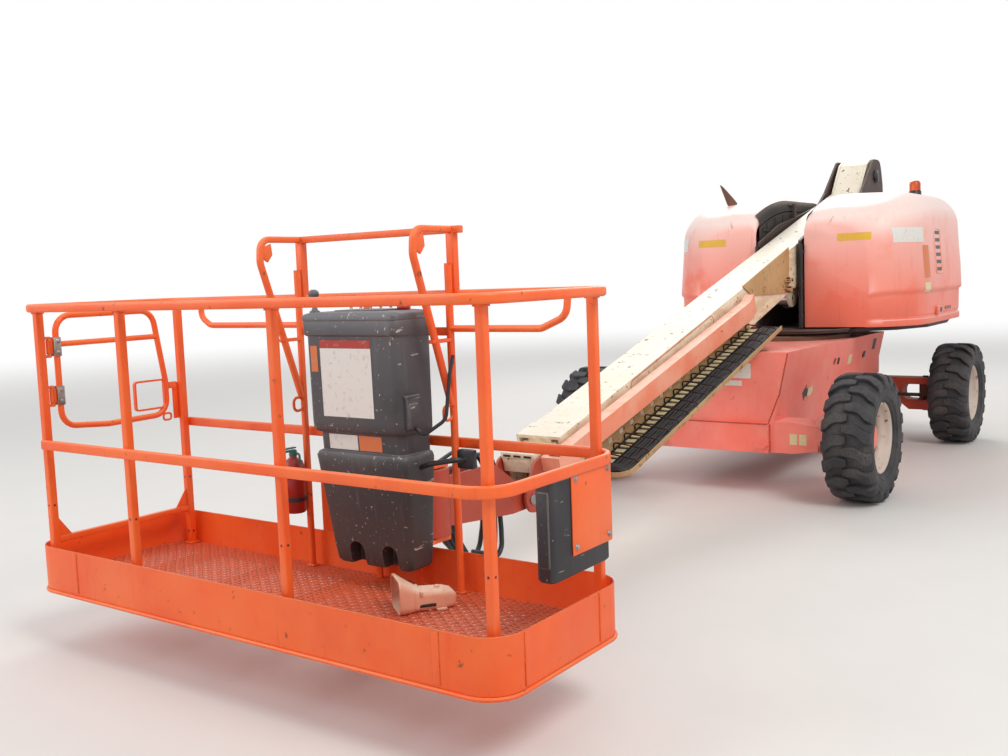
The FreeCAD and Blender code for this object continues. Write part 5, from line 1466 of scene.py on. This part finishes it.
            guard.block((back + 0.034, 0.2 + sy * 0.105 - 0.015, floor),
                        (back + 0.046, 0.2 + sy * 0.105 + 0.015, self.rail_top - self.rail), 0.003)
        guard.block((back + 0.034, -0.285, 1.29), (back + 0.046, 0.52, 1.322), 0.003)
        guard.build(self.shop, "platform orange", "platform", "platform_paint", "console_guard")

    def build(self) -> None:
        """Makes the whole platform."""
        self.rails()
        self.toe_board()
        self.mesh_floor()
        self.guard()


@dataclass(frozen=True)
class Gate(Assembly):
    """The entry gate: one bent tube, a cross bar, sleeves and a strap."""

    y: float = -1.11
    pin_x: float = 5.489
    latch_x: float = 4.852
    top: float = 1.409
    low: float = 0.925

    def build(self) -> None:
        """Makes the gate."""
        y, latch_x, pin_x, low = self.y, self.latch_x, self.pin_x, self.low
        gate = Stock("gate_tube_set")
        x1, x0 = pin_x - 0.037, latch_x + 0.074
        loop = [(x0 + 0.05, y, self.top), (x1, y, self.top), (x1, y, low + 0.02), (x1 - 0.22, y, low),
                (x0, y, low + 0.005), (x0, y, low + 0.16)]
        tube = round_section(0.013, 14)
        gate.sweep(bend(loop, 0.07, closed=True, steps=7), tube, closed=True, upright=(0, 1, 0))
        gate.sweep([(x1, y, 1.29), (x0 + 0.034, y, 1.29)], round_section(0.012, 14), upright=(0, 1, 0))
        for gz in HINGES:
            gate.rod((pin_x, y, gz - 0.03), (pin_x, y, gz + 0.03), 0.009, 16)
            gate.block((x1 + 0.004, y - 0.005, gz - 0.03), (pin_x - 0.004, y + 0.005, gz + 0.03), 0.0015)
        gate.block((latch_x + 0.018, y - 0.004, low + 0.12), (x0 + 0.004, y + 0.004, low + 0.15), 0.0015)
        frame_bar = [(x0 + 0.01, y, 0.962), (x0 + 0.165, y, 0.962), (x0 + 0.165, y, 1.09), (x0 + 0.01, y, 1.09)]
        gate.sweep(bend(frame_bar, 0.012, closed=True, steps=3),
                   [(-0.004, -0.008), (0.004, -0.008), (0.004, 0.008), (-0.004, 0.008)],
                   closed=True, upright=(0, 1, 0))
        eye = [(x0 - 0.03, y - 0.014, 0.93), (x0 + 0.012, y - 0.014, 0.93), (x0 + 0.012, y - 0.014, 0.9),
               (x0 - 0.03, y - 0.014, 0.9)]
        gate.sweep(bend(eye, 0.012, closed=True, steps=4), round_section(0.005, 8), closed=True, upright=(0, 1, 0))
        gate.build(self.shop, "platform orange", "gate", "platform_paint", "platform_gate")
        leaves = Stock("gate_hinge_leaves")
        for gz in HINGES:
            for inner, outer in ((y - 0.016, y - 0.0125), (y + 0.0125, y + 0.016)):
                leaves.block((x1 - 0.014, inner, gz - 0.04), (x1 + 0.02, outer, gz + 0.04), 0.002)
            for bz in (-0.024, 0.024):
                for s in (1, -1):
                    leaves.bolt((x1, y + s * 0.016, gz + bz), (0, s, 0), 0.007)
        leaves.build(self.shop, "pin steel", "gate", "pin_steel")


@dataclass(frozen=True)
class Console(Assembly):
    """The control console: a moulded tall case with a lid, placards and a lever."""

    x: float = 5.015
    y: float = 0.21
    half: float = 0.236
    lid: float = 1.4
    foot: float = 0.4

    def ring(self, z: float, half: float, back: float, front: float, radius: float) -> list[Point]:
        """Gives one level of the case from its height, half width, rear and front face and corner radius."""
        return [((front + back) / 2 + a, self.y + b, z) for a, b in box_section(front - back, 2 * half, radius, 4)]

    def build(self) -> None:
        """Makes the console."""
        y, lid, foot = self.y, self.lid, self.foot
        case = Stock("console_case")
        back = self.x - 0.152
        levels = [
            (foot, 0.182, 4.99, 0.02), (foot + 0.012, 0.198, 4.998, 0.024), (foot + 0.06, 0.207, 5.006, 0.03),
            (0.8, 0.232, 5.05, 0.03), (0.835, 0.234, 5.056, 0.03), (0.85, 0.227, 5.05, 0.03),
            (0.856, 0.214, 5.036, 0.028),
            (0.925, 0.214, 5.04, 0.028), (0.932, 0.225, 5.058, 0.03), (0.945, 0.233, 5.066, 0.032),
            (0.975, 0.234, 5.068, 0.032),
            (1.3, 0.234, 5.074, 0.032), (1.304, 0.241, 5.08, 0.032), (1.308, 0.243, 5.084, 0.034),
            (1.356, 0.245, 5.087, 0.034),
            (1.36, 0.243, 5.085, 0.034), (1.363, 0.246, 5.089, 0.034), (1.378, 0.246, 5.088, 0.034),
            (1.386, 0.241, 5.082, 0.034),
            (1.391, 0.225, 5.068, 0.034), (1.394, 0.169, 5.03, 0.03),
        ]
        case.loft([self.ring(z, half, back, front, radius) for z, half, front, radius in levels])
        case.block((back + 0.03, y - 0.12, 1.388), (5.02, y + 0.12, 1.3985), 0.003)
        lever = y - self.half
        case.block((4.975, lever - 0.03, lid - 0.06), (5.015, lever + 0.01, lid - 0.02), 0.006)
        case.rod((4.995, lever - 0.016, lid - 0.022), (4.995, lever - 0.016, lid + 0.05), 0.008, 14)
        case.turned([(0, 0), (0.01, 0.001), (0.019, 0.007), (0.022, 0.018), (0.019, 0.029), (0.01, 0.0352),
                     (0, 0.036)],
                    (4.995, lever - 0.016, lid + 0.044), (0, 0, 1), 20)
        case.turned([(0.03, 0), (0.028, 0.006), (0.02, 0.01), (0.022, 0.014), (0.014, 0.018), (0.009, 0.03)],
                    (4.995, lever - 0.014, lid - 0.02), (0, 0, 1), 20)
        whole = case.build(self.shop, "console grey", "platform", "console_plastic", "control_console", crisp=0.7)
        notches = Stock("console_notches")
        for dy in (-0.075, 0.095):
            arch = [(y + dy + 0.04, foot - 0.05)]
            for k in range(13):
                angle = pi * k / 12
                arch.append((y + dy + 0.04 * cos(angle), foot + 0.055 + 0.04 * sin(angle)))
            arch.append((y + dy - 0.04, foot - 0.05))
            notches.plate(arch, Plane.YZ, 5.07, 0.26, 0)
        self.carve(whole, notches)
        cards = (
            ("placard_white", "label white", (5.1, y - 0.022, 1.125), (0.262, 0.262)),
            ("placard_red", "label red", (5.1, y - 0.022, 1.272), (0.262, 0.03)),
            ("placard_orange", "label orange", (5.1, y - 0.186, 1.215), (0.036, 0.1)),
            ("placard_lower", "label white", (5.1, y - 0.085, 0.892), (0.15, 0.058)),
            ("placard_amber", "label orange", (5.1, y + 0.055, 0.892), (0.115, 0.058)),
        )
        for name, finish, centre, size in cards:
            Stock(name).decal(whole, centre, (1, 0, 0), size, 4).build(self.shop, finish, "platform",
                    "console_plastic")
        outlet = Stock("console_outlet")
        side = y + 0.233
        outlet.block((4.975, side - 0.01, 0.955), (5.04, side + 0.016, 1.075), 0.004)
        outlet.block((4.98, side + 0.01, 0.962), (5.034, side + 0.022, 1.05), 0.006)
        outlet.block((4.97, side - 0.01, 1.068), (5.044, side + 0.02, 1.082), 0.003)
        outlet.build(self.shop, "console grey", "platform", "console_plastic")
        cable = Stock("console_cable")
        run = [(5.000, side + 0.012, 0.96), (5.000, side + 0.05, 0.93), (4.93, side + 0.105, 0.985),
               (4.905, side + 0.11, 1.15),
               (4.88, side + 0.11, 1.22)]
        cable.sweep(bend(run, 0.05, steps=6), round_section(0.007, 10), upright=(1, 0, 0))
        gland = [(4.96, side - 0.01, 0.8), (4.96, side + 0.05, 0.82), (4.93, side + 0.14, 0.835),
                 (4.88, side + 0.155, 0.83)]
        cable.sweep(bend(gland, 0.04, steps=6), round_section(0.01, 10), upright=(1, 0, 0))
        cable.block((4.858, side + 0.115, 0.795), (4.89, side + 0.19, 0.868), 0.008)
        cable.build(self.shop, "hose rubber", "platform", "console_plastic")
        knobs = Stock("console_knobs")
        for k in range(6):
            at = (4.915, y - 0.13 + 0.052 * k, 1.385)
            knobs.turned([(0.01, 0), (0.01, 0.01), (0.006, 0.012), (0.006, 0.026), (0.009, 0.03), (0.008, 0.038),
                          (0, 0.04)], at, (0, 0, 1), 14)
        knobs.build(self.shop, "pin steel", "platform", "console_plastic")
        stop = Stock("console_stop")
        stop.turned([(0.014, 0), (0.014, 0.01), (0.024, 0.013), (0.025, 0.022), (0.018, 0.029), (0, 0.031)],
                    (4.93, y + 0.155, 1.384), (0, 0, 1), 20)
        stop.build(self.shop, "label red", "platform", "console_plastic")

    def carve(self, piece: Piece, cutter: Stock) -> None:
        """Takes a shape away from a finished piece.

        Args:
            piece: The piece that is cut.
            cutter: The shape that is taken away.
        """
        cutter.mesh.transform(cutter.place)
        data = bpy.data.meshes.new(cutter.name)
        cutter.mesh.to_mesh(data)
        cutter.mesh.free()
        tool = bpy.data.objects.new(cutter.name, data)
        bpy.context.scene.collection.objects.link(tool)
        cut = piece.modifiers.new("notch", "BOOLEAN")
        cut.operation = "DIFFERENCE"
        cut.solver = "EXACT"
        cut.use_self = True
        cut.object = tool
        graph = bpy.context.evaluated_depsgraph_get()
        piece.data = bpy.data.meshes.new_from_object(piece.evaluated_get(graph))
        piece.modifiers.clear()
        bpy.data.objects.remove(tool)


@dataclass(frozen=True)
class Fittings(Assembly):
    """The loose fittings on the platform: box, extinguisher and pedal."""

    def storage_box(self) -> None:
        """Makes the storage box and its outside plate."""
        case = Stock("storage_case")
        x0, x1, y0, y1, z0, z1 = 4.884, 5.241, 1.14, 1.208, 0.534, 0.856
        rings = []
        for z, grow, radius in ((z0, -0.012, 0.018), (z0 + 0.008, 0, 0.018), (z1 - 0.02, 0, 0.018),
                                (z1 - 0.018, 0, 0.018), (z1, 0, 0.018), (z1, -0.012, 0.014),
                                (z0 + 0.02, -0.012, 0.014)):
            section = box_section(x1 - x0 + grow, y1 - y0 + grow, radius, 4)
            rings.append([((x0 + x1) / 2 + a, (y0 + y1) / 2 + b, z) for a, b in section])
        case.loft(rings)
        case.block((x0 + 0.02, y0 - 0.004, z0 + 0.03), (x1 - 0.02, y0 + 0.004, z1 - 0.05), 0.003)
        case.block((x1 - 0.004, y0 + 0.014, z0 + 0.05), (x1 + 0.004, y1 - 0.014, z1 - 0.03), 0.003)
        case.build(self.shop, "case black", "platform", "box_plastic", "storage_box", crisp=0.7)
        heads = Stock("storage_bolts")
        plate = Stock("storage_plate")
        plate.block((4.877, 1.2085, 0.6), (5.129, 1.2125, 0.876), 0.001)
        for bx in (4.9, 5.106):
            for bz in (0.626, 0.85):
                heads.bolt((bx, 1.2125, bz), (0, 1, 0), 0.008)
        plate.build(self.shop, "platform orange", "platform", "platform_paint")
        heads.build(self.shop, "pin steel", "platform", "pin_steel")

    def extinguisher(self) -> None:
        """Makes the extinguisher."""
        x, y, low, high, r = 4.908, -0.305, 0.545, 0.23, 0.044
        body = Stock("extinguisher_bottle")
        body.turned([(0, 0), (r - 0.006, 0), (r, 0.006), (r, high - 0.03), (r - 0.006, high - 0.012),
                     (r - 0.022, high), (0.016, high + 0.004), (0.016, high + 0.012), (0, high + 0.012)],
                    (x, y, low), (0, 0, 1), 32)
        body.build(self.shop, "cylinder red", "platform", "extinguisher_red", "fire_extinguisher")
        head = Stock("extinguisher_head")
        head.rod((x, y, low + high + 0.01), (x, y, low + high + 0.034), 0.017, 20)
        head.block((x - 0.012, y - 0.01, low + high + 0.03), (x + 0.05, y + 0.01, low + high + 0.037), 0.002)
        head.block((x - 0.012, y - 0.01, low + high + 0.042), (x + 0.046, y + 0.01, low + high + 0.048), 0.002)
        head.sweep(bend([(x, y + 0.016, low + high + 0.022), (x, y + 0.038, low + high + 0.022),
                         (x, y + 0.041, low + high - 0.06)], 0.02), round_section(0.005, 10), upright=(1, 0, 0))
        head.build(self.shop, "cap teal", "platform", "extinguisher_red")
        strap = Stock("extinguisher_strap")
        for z in (low + 0.05, low + 0.15):
            strap.turned([(r + 0.0005, 0), (r + 0.003, 0), (r + 0.003, 0.018), (r + 0.0005, 0.018)], (x, y, z),
                         (0, 0, 1), 32, closed=True)
            strap.block((4.86, y - 0.012, z), (x - r + 0.003, y + 0.012, z + 0.018), 0.001)
        strap.build(self.shop, "black enamel", "platform", "extinguisher_red")

    def foot_switch(self) -> None:
        """Makes the cast guard over the foot switch."""
        turned = MACHINE @ Matrix.Translation((5.055, 0.515, 0)) @ Matrix.Rotation(radians(53), 4,
                "Z") @ Matrix.Translation((-5.11, -0.53, 0))
        shoe = Stock("foot_switch_guard", turned)
        stations = ((0.42, 0.082, 0.126, 0), (0.428, 0.084, 0.128, 0), (0.45, 0.074, 0.112, 0),
                    (0.48, 0.062, 0.092, 0),
                    (0.505, 0.052, 0.076, 0), (0.6, 0.05, 0.07, 0), (0.628, 0.044, 0.06, 0.002),
                    (0.64, 0.026, 0.04, 0.01))
        outer, inner = [], []
        for y, half, high, lift in stations:
            section = box_section(2 * half, high, min(half, high) * 0.42, 5)
            outer.append([(5.11 + a, y, 0.3015 + lift + high / 2 + b) for a, b in section])
        for y, half, high, _ in stations[:6]:
            section = box_section(2 * half - 0.012, high - 0.012, min(half, high) * 0.38, 5)
            inner.append([(5.11 + a, y, 0.3015 + high / 2 + b) for a, b in section])
        shoe.loft(list(reversed(outer)) + inner)
        shoe.rod((5.11, 0.63, 0.332), (5.11, 0.646, 0.332), 0.014, 16)
        shoe.block((5.052, 0.56, 0.3005), (5.168, 0.6, 0.309), 0.003)
        shoe.block((5.052, 0.5, 0.36), (5.168, 0.512, 0.378), 0.003)
        shoe.bolt((5.11, 0.575, 0.372), (0, 0, 1), 0.01)
        shoe.build(self.shop, "casting peach", "platform", "platform_paint", "foot_switch", crisp=0.7)
        pedal = Stock("foot_pedal", turned)
        pedal.block((5.055, 0.45, 0.318), (5.165, 0.56, 0.33), 0.004)
        pedal.build(self.shop, "label black", "platform", "console_plastic")

    def build(self) -> None:
        """Makes all the fittings."""
        self.foot_switch()
        self.storage_box()
        self.extinguisher()


@dataclass(frozen=True)
class BoomSide(Assembly):
    """The open tray on the boom's left side with its hoses, wires and plates."""

    rear: float = 3.02
    front: float = 5.3
    inner: float = 0.127
    outer: float = 0.362
    floor: float = -0.365
    lip: float = -0.338
    pitch: float = 0.064
    hoses: int = 6
    rung_step: float = 0.128

    def tray(self) -> None:
        """Makes the tray's floor, lip and back plate."""
        rear, front, inner, outer, floor = self.rear, self.front, self.inner, self.outer, self.floor
        tray = Stock("tray_sheet", BOOM)
        turn = 0.09
        round_end = bend([(front - 0.3, outer, 0), (front, outer, 0), (front, inner, 0)], turn, steps=8)
        outline = [(rear, inner), (rear, outer)] + [(p.x, p.y) for p in round_end[1:]]
        tray.plate(outline, Plane.XY, floor + 0.002, 0.004, 0)
        edge = [(rear, outer - 0.003, floor), (front - 0.003, outer - 0.003, floor),
                (front - 0.003, inner + 0.004, floor)]
        tall = self.lip - floor
        rolled = [(-0.002, 0), (0.002, 0), (0.002, tall - 0.006), (0.0045, tall - 0.003), (0.003, tall),
                  (-0.002, tall), (-0.0035, tall - 0.004), (-0.002, tall - 0.008)]
        tray.sweep(bend(edge, turn, steps=8), rolled)
        tray.block((rear, inner, -0.269), (front, inner + 0.004, -0.255), 0.0008)
        tray.block((rear, inner, floor + 0.004), (front, inner + 0.004, -0.299), 0.0008)
        for k in range(19):
            u = rear + self.rung_step * k
            tray.block((max(rear, u - 0.015), inner, -0.3), (min(front, u + 0.067), inner + 0.004, -0.268), 0.0006)
        for k in range(4):
            u = rear + 0.3 + 0.55 * k
            tray.block((u, inner + 0.003, floor + 0.003), (u + 0.03, outer - 0.004, floor + 0.01), 0.001)
        tray.build(self.shop, "tray cream", "boom", "boom_paint", "hose_tray")

    def carrier(self) -> None:
        """Makes the carrier chain with its plates, the hoses and the wire rungs."""
        rear, floor = self.rear, self.floor
        chain = Stock("carrier_chain", BOOM)
        first, last = rear + 0.05, self.front - 0.06
        for y in (0.139, 0.215):
            chain.block((first, y, floor + 0.005), (last, y + 0.004, -0.336), 0.001)
        plates = Stock("carrier_plates", BOOM)
        count = int((last - first) / self.pitch)
        for k in range(count):
            u = first + (k + 0.5) * self.pitch
            plates.block((u - 0.017, 0.146, floor + 0.008), (u + 0.017, 0.212, -0.344), 0.002)
            chain.block((u + 0.022, 0.141, floor + 0.005), (u + 0.042, 0.217, -0.348), 0.0015)
        chain.build(self.shop, "hose rubber", "boom", "black_rubber", "hose_carrier")
        plates.build(self.shop, "plate cream", "boom", "boom_paint")
        hoses = Stock("carrier_hoses", BOOM)
        for k in range(self.hoses):
            y = 0.232 + 0.0215 * k
            run = []
            for i in range(26):
                u = rear + 0.02 + (self.front - 0.15 - rear) * i / 25
                lift = 0.0165 + 0.002 * sin(0.9 * i + k)
                run.append((u, y + 0.0025 * sin(1.7 * i + 2.1 * k), floor + lift))
            tail = self.front - 0.1 + 0.008 * k
            run += [(tail, y - 0.01, floor + 0.019), (tail + 0.018, y - 0.035, floor + 0.022),
                    (tail + 0.022, 0.16, floor + 0.026)]
            hoses.sweep(run, round_section(0.0105, 10))
        hoses.build(self.shop, "hose rubber", "boom", "black_rubber")
        rungs = Stock("carrier_rungs", BOOM)
        for k in range(17):
            u = rear + 0.08 + self.rung_step * k
            wire = [(u, 0.1355, floor + 0.01), (u, 0.1355, -0.3), (u + 0.004, 0.2, -0.306), (u + 0.006, 0.35, -0.326),
                    (u + 0.006, 0.355, floor + 0.01)]
            rungs.sweep(bend(wire, 0.02, steps=4), round_section(0.0042, 8), upright=(1, 0, 0))
        rungs.build(self.shop, "wire steel", "boom", "black_metal")

    def marks(self) -> None:
        """Makes the thin oval line on the boom's side and the cap at the fly's end."""
        oval = Stock("boom_oval", BOOM)
        line = [(3.56, 0.1278, -0.15), (4.72, 0.1278, -0.15), (4.72, 0.1278, -0.07), (3.56, 0.1278, -0.07)]
        oval.sweep(bend(line, 0.038, closed=True, steps=8),
                   [(-0.0022, -0.0006), (0.0022, -0.0006), (0.0022, 0.0006), (-0.0022, 0.0006)],
                   closed=True, upright=(0, 1, 0))
        oval.build(self.shop, "label red", "boom", "boom_paint")
        cap = Stock("fly_cap", BOOM)
        cap.block((5.575, -0.1, -0.0915), (5.705, 0.1, -0.055), 0.004)
        cap.block((5.69, -0.096, -0.16), (5.705, 0.096, -0.08), 0.003)
        for y in (-0.05, 0.05):
            cap.bolt((5.64, y, -0.056), (0, 0, 1), 0.01)
        cap.build(self.shop, "boom cream", "fly", "boom_paint")
        # The cap's slots are black blocks: painted shade in the openings.
        slots = Stock("fly_cap_slots", BOOM)
        for y in (-0.062, 0, 0.062):
            slots.block((5.7, y - 0.022, -0.078), (5.7065, y + 0.022, -0.066), 0.001)
        slots.build(self.shop, "label black", "fly", "boom_paint")
        clips = Stock("bracket_clips", BOOM)
        for low in (-0.325, -0.255):
            clips.turned([(0.016, 0), (0.022, 0), (0.022, 0.02), (0.016, 0.02)], (2.285, 0.16, low + 0.013),
                         (1, 0, 0), 20, closed=True)
            clips.bolt((2.292, 0.188, low + 0.013), (0, 1, 0), 0.008)
        clips.build(self.shop, "wire steel", "boom", "boom_paint")

    def nose_hoses(self) -> None:
        """Makes the hoses that hang from the nose to the rotator, with their tie."""
        hoses = Stock("nose_hoses")
        for k, (y, low) in enumerate(((-0.045, 0.165), (-0.012, 0.15), (0.02, 0.175), (0.05, 0.19))):
            run = [(3.94, y, 0.4), (3.945, y * 1.2, 0.3), (3.965, y * 1.5, low),
                   (4.1 + 0.02 * k, y * 1.2, low - 0.01 * k), (4.25, y, 0.3), (4.318, y, 0.42)]
            hoses.sweep(bend(run, 0.09, steps=7), round_section(0.0125, 10), upright=(0, 1, 0))
        for k, y in enumerate((-0.05, -0.02, 0.03)):
            run = [(3.94, y, 0.48), (3.965, y * 1.6, 0.655), (4.1, y * 1.8, 0.69), (4.33, y * 1.4, 0.64),
                   (4.36, y, 0.56)]
            hoses.sweep(bend(run, 0.1, steps=7), round_section(0.0095, 10), upright=(0, 1, 0))
        hoses.block((4.000, -0.075, 0.135), (4.018, 0.085, 0.2), 0.006)
        hoses.build(self.shop, "hose rubber", "level", "black_rubber")
        fittings = Stock("rotator_fittings")
        for y in (-0.045, -0.012, 0.02, 0.05):
            fittings.rod((4.312, y, 0.415), (4.322, y, 0.44), 0.016, 6, 0.001)
        fittings.build(self.shop, "pin steel", "level", "black_metal")

    def build(self) -> None:
        """Makes all that lies on the boom's side and nose."""
        self.tray()
        self.carrier()
        self.marks()
        self.nose_hoses()


@dataclass(frozen=True)
class Undercarriage(Assembly):
    """The welds, blank cards, arrows, and holes painted as black shade, on the chassis and the turntable."""

    nodes: dict[str, Piece]
    knee: float = 0.673

    def seam(self, stock: Stock, points: Sequence[Point], radius: float = 0.005) -> None:
        """Draws a weld bead with small ripples.

        Args:
            stock: The mesh that it goes to.
            points: The seam's corner points.
            radius: The bead's radius.
        """
        run: list[Vector] = []
        for start, end in zip(points, points[1:]):
            a, b = Vector(start), Vector(end)
            steps = max(2, int((b - a).length / 0.012))
            for k in range(steps):
                ripple = radius * 0.35 * (1 if k % 2 else -1)
                run.append(a.lerp(b, k / steps) + Vector((ripple, 0, ripple)))
        run.append(Vector(points[-1]))
        stock.sweep(run, round_section(radius, 7))

    def wall_at(self, z: float) -> float:
        """Gives how far out the chassis' side wall is at a height.

        Args:
            z: The height.

        Returns:
            The distance from the machine's middle.
        """
        if z > self.knee:
            tilt = (0.53 - 0.471) / (0.95 - self.knee)
            return 0.471 - 0.0022 + (z - self.knee) * tilt + 0.004
        return 0.39 + (z - 0.29) * 0.081 / 0.383 + 0.0018

    def build(self) -> None:
        """Makes all the small things on the chassis and the turntable."""
        frame, axle = self.nodes["chassis_frame"], self.nodes["drive_axle"]
        welds = Stock("chassis_welds")
        for s in (1, -1):
            self.seam(welds, [(1.401, s * 0.4, 0.478), (1.401, s * 0.4, 0.3)], 0.007)
            self.seam(welds, [(1.3985, s * 0.528, 0.945), (1.3985, s * 0.47, 0.675), (1.3985, s * 0.392, 0.48)],
                      0.005)
        self.seam(welds, [(1.432, -0.4, 0.481), (1.432, 0.4, 0.481)], 0.004)
        welds.build(self.shop, "axle red", "chassis", "chassis_paint")
        # The holes and top slots are black decals and slabs: painted shade in the openings.
        holes = Stock("chassis_holes")
        for x, z in ((0.3, 0.8), (-0.32, 0.8)):
            for s in (1, -1):
                holes.decal(frame, (x, s * 0.5, z), (0, s, 0), (0.05, 0.05), 2, 0.0006)
        for y in (0.1, 0.3, -0.2):
            holes.block((1.27, y - 0.05, 0.9495), (1.31, y + 0.05, 0.9512), 0.0005)
        holes.build(self.shop, "label black", "chassis", "chassis_paint")
        cards = (
            ("chassis_card_high", "label white", frame, (1.4, 0.177, 0.825), (1, 0, 0), (0.2, 0.1)),
            ("chassis_card_low", "label white", frame, (1.4, 0.112, 0.742), (1, 0, 0), (0.205, 0.035)),
            ("chassis_card_side", "label cream", frame, (0.035, 0.5, 0.79), (0, 1, 0), (0.085, 0.07)),
            ("chassis_card_rear", "console grey", frame, (-0.53, 0.5, 0.865), (0, 1, 0), (0.08, 0.085)),
            ("axle_card_left", "label cream", axle, (1.395, 0.56, 0.385), (1, 0, 0), (0.05, 0.07)),
            ("axle_card_right", "label cream", axle, (1.395, 0.622, 0.385), (1, 0, 0), (0.05, 0.07)),
        )
        for title, finish, target, centre, faces, size in cards:
            Stock(title).decal(target, centre, faces, size, 3).build(self.shop, finish, "chassis", "chassis_paint")
        shape = [(0, -0.028), (0.045, -0.028), (0.045, -0.062), (0.105, 0), (0.045, 0.062), (0.045, 0.028),
                 (0, 0.028)]
        for title, finish, way in (("arrow_rear", "label cream", -1), ("arrow_front", "label black", 1)):
            arrow = Stock(title)
            spots = [(0.855 + way * a, 0.632 + b) for a, b in shape]
            arrow.mesh.faces.new([arrow.mesh.verts.new((x, self.wall_at(z), z)) for x, z in spots])
            arrow.build(self.shop, finish, "chassis", "chassis_paint")
        shield = Stock("slew_shield")
        half_round = [(0.1 + 0.36 * sin(angle), -0.52 * cos(angle)) for angle in (pi * k / 20 for k in range(1, 20))]
        half_round = [(0.1, -0.52), *half_round, (0.1, 0.52)]
        shield.plate(half_round, Plane.XY, 1.012, 0.02, 0.004)
        shield.sweep([(a, b, 1.022) for a, b in half_round], round_section(0.009, 10))
        shield.build(self.shop, "tower brown", "turntable", "dark_steel")
        tubes = Stock("turntable_tubes")
        for s in (1, -1):
            tubes.sweep(bend([(0.155, s * 0.172, 1.03), (0.155, s * 0.172, 1.66)], 0.02), round_section(0.016, 14),
                        upright=(0, 1, 0))
            for z in (1.12, 1.38, 1.6):
                tubes.block((0.132, s * 0.172 - 0.022, z), (0.16, s * 0.172 + 0.022, z + 0.012), 0.002)
        tubes.build(self.shop, "hose rubber", "turntable", "dark_steel")
        caps = Stock("pin_caps")
        for s in (1, -1):
            caps.turned([(0, 0), (0.058, 0), (0.058, 0.005), (0.036, 0.006), (0.036, 0.01), (0, 0.01)],
                        (-1.75, s * 0.1845, 2.27), (0, s, 0), 28)
            for k in range(3):
                angle = 2 * pi * k / 3 + 0.5
                caps.bolt((-1.75 + 0.046 * cos(angle), s * 0.189, 2.27 + 0.046 * sin(angle)), (0, s, 0), 0.006)
        caps.build(self.shop, "black enamel", "turntable", "pin_steel")


@dataclass(frozen=True)
class Exhaust(Assembly):
    """The exhaust's end: a rusty open pipe, cut at a slant."""

    x: float = -0.33
    y: float = -0.56
    low: float = 1.985
    radius: float = 0.045
    reach: float = 0.205

    def build(self) -> None:
        """Makes the exhaust's end."""
        pipe = Stock("exhaust_end")
        way = Vector((0, -0.38, 1.0))
        rings = []
        for radius, upward in ((self.radius, False), (self.radius, True), (self.radius - 0.004, True),
                               (self.radius - 0.004, False)):
            ring = []
            for k in range(28):
                angle = 2 * pi * k / 28
                flat = Vector((radius * cos(angle), radius * sin(angle), 0))
                lift = self.reach * (0.55 + 0.45 * cos(angle + 0.9)) if upward else 0.0
                ring.append(Vector((self.x, self.y, self.low)) + flat + way * lift)
            rings.append(ring)
        pipe.loft(rings)
        pipe.turned([(self.radius + 0.001, 0), (self.radius + 0.008, 0), (self.radius + 0.008, 0.014),
                     (self.radius + 0.001, 0.014)],
                    (self.x, self.y, self.low + 0.008), (0, -0.1, 1.0), 28, closed=True)
        pipe.build(self.shop, "axle drab", "cover_right", "axle_paint", "exhaust_stub")


@dataclass(frozen=True)
class Beacon(Assembly):
    """The flashing beacon: a black foot and a ribbed lens."""

    x: float = -1.25
    y: float = 0.64

    def build(self) -> None:
        """Makes the beacon."""
        foot = Stock("beacon_foot")
        foot.turned([(0, 0), (0.048, 0), (0.05, 0.004), (0.048, 0.055), (0.042, 0.06), (0, 0.06)],
                    (self.x, self.y, 2.026), (0, 0, 1), 32)
        foot.build(self.shop, "label black", "cover_left", "beacon_lens", "beacon")
        lens = Stock("beacon_lens_dome")
        profile: list[Flat] = [(0, 0), (0.044, 0)]
        for k in range(6):
            profile += [(0.0445, 0.003 + 0.01 * k), (0.0425, 0.008 + 0.01 * k)]
        profile += [(0.04, 0.07), (0.03, 0.08), (0, 0.083)]
        lens.turned(profile, (self.x, self.y, 2.086), (0, 0, 1), 36)
        lens.build(self.shop, "amber lens", "cover_left", "beacon_lens")


def main() -> None:
    """Builds the studio and then the machine, one sub-assembly after the other."""
    logging.basicConfig(level=logging.INFO, format="%(name)s %(message)s")
    bpy.context.scene.view_settings.view_transform = "Standard"
    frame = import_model()
    Studio().build()
    shop = Shop()
    CarriedSolids(shop, frame["nodes"]).build()
    for axle in ("drive", "steer"):
        for side in Side:
            name = f"{axle}_{side.name.lower()}"
            low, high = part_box("tyre_" + name)
            Wheel(shop, name, side, tuple((low + high) / 2)).build()
    for side in Side:
        Cover(shop, side.name.lower(), side).build()
    for assembly in (Platform, Gate, Console, Fittings, BoomSide):
        assembly(shop).build()
    Undercarriage(shop, frame["nodes"]).build()
    Beacon(shop).build()
    Exhaust(shop).build()


if __name__ == "__main__":
    main()
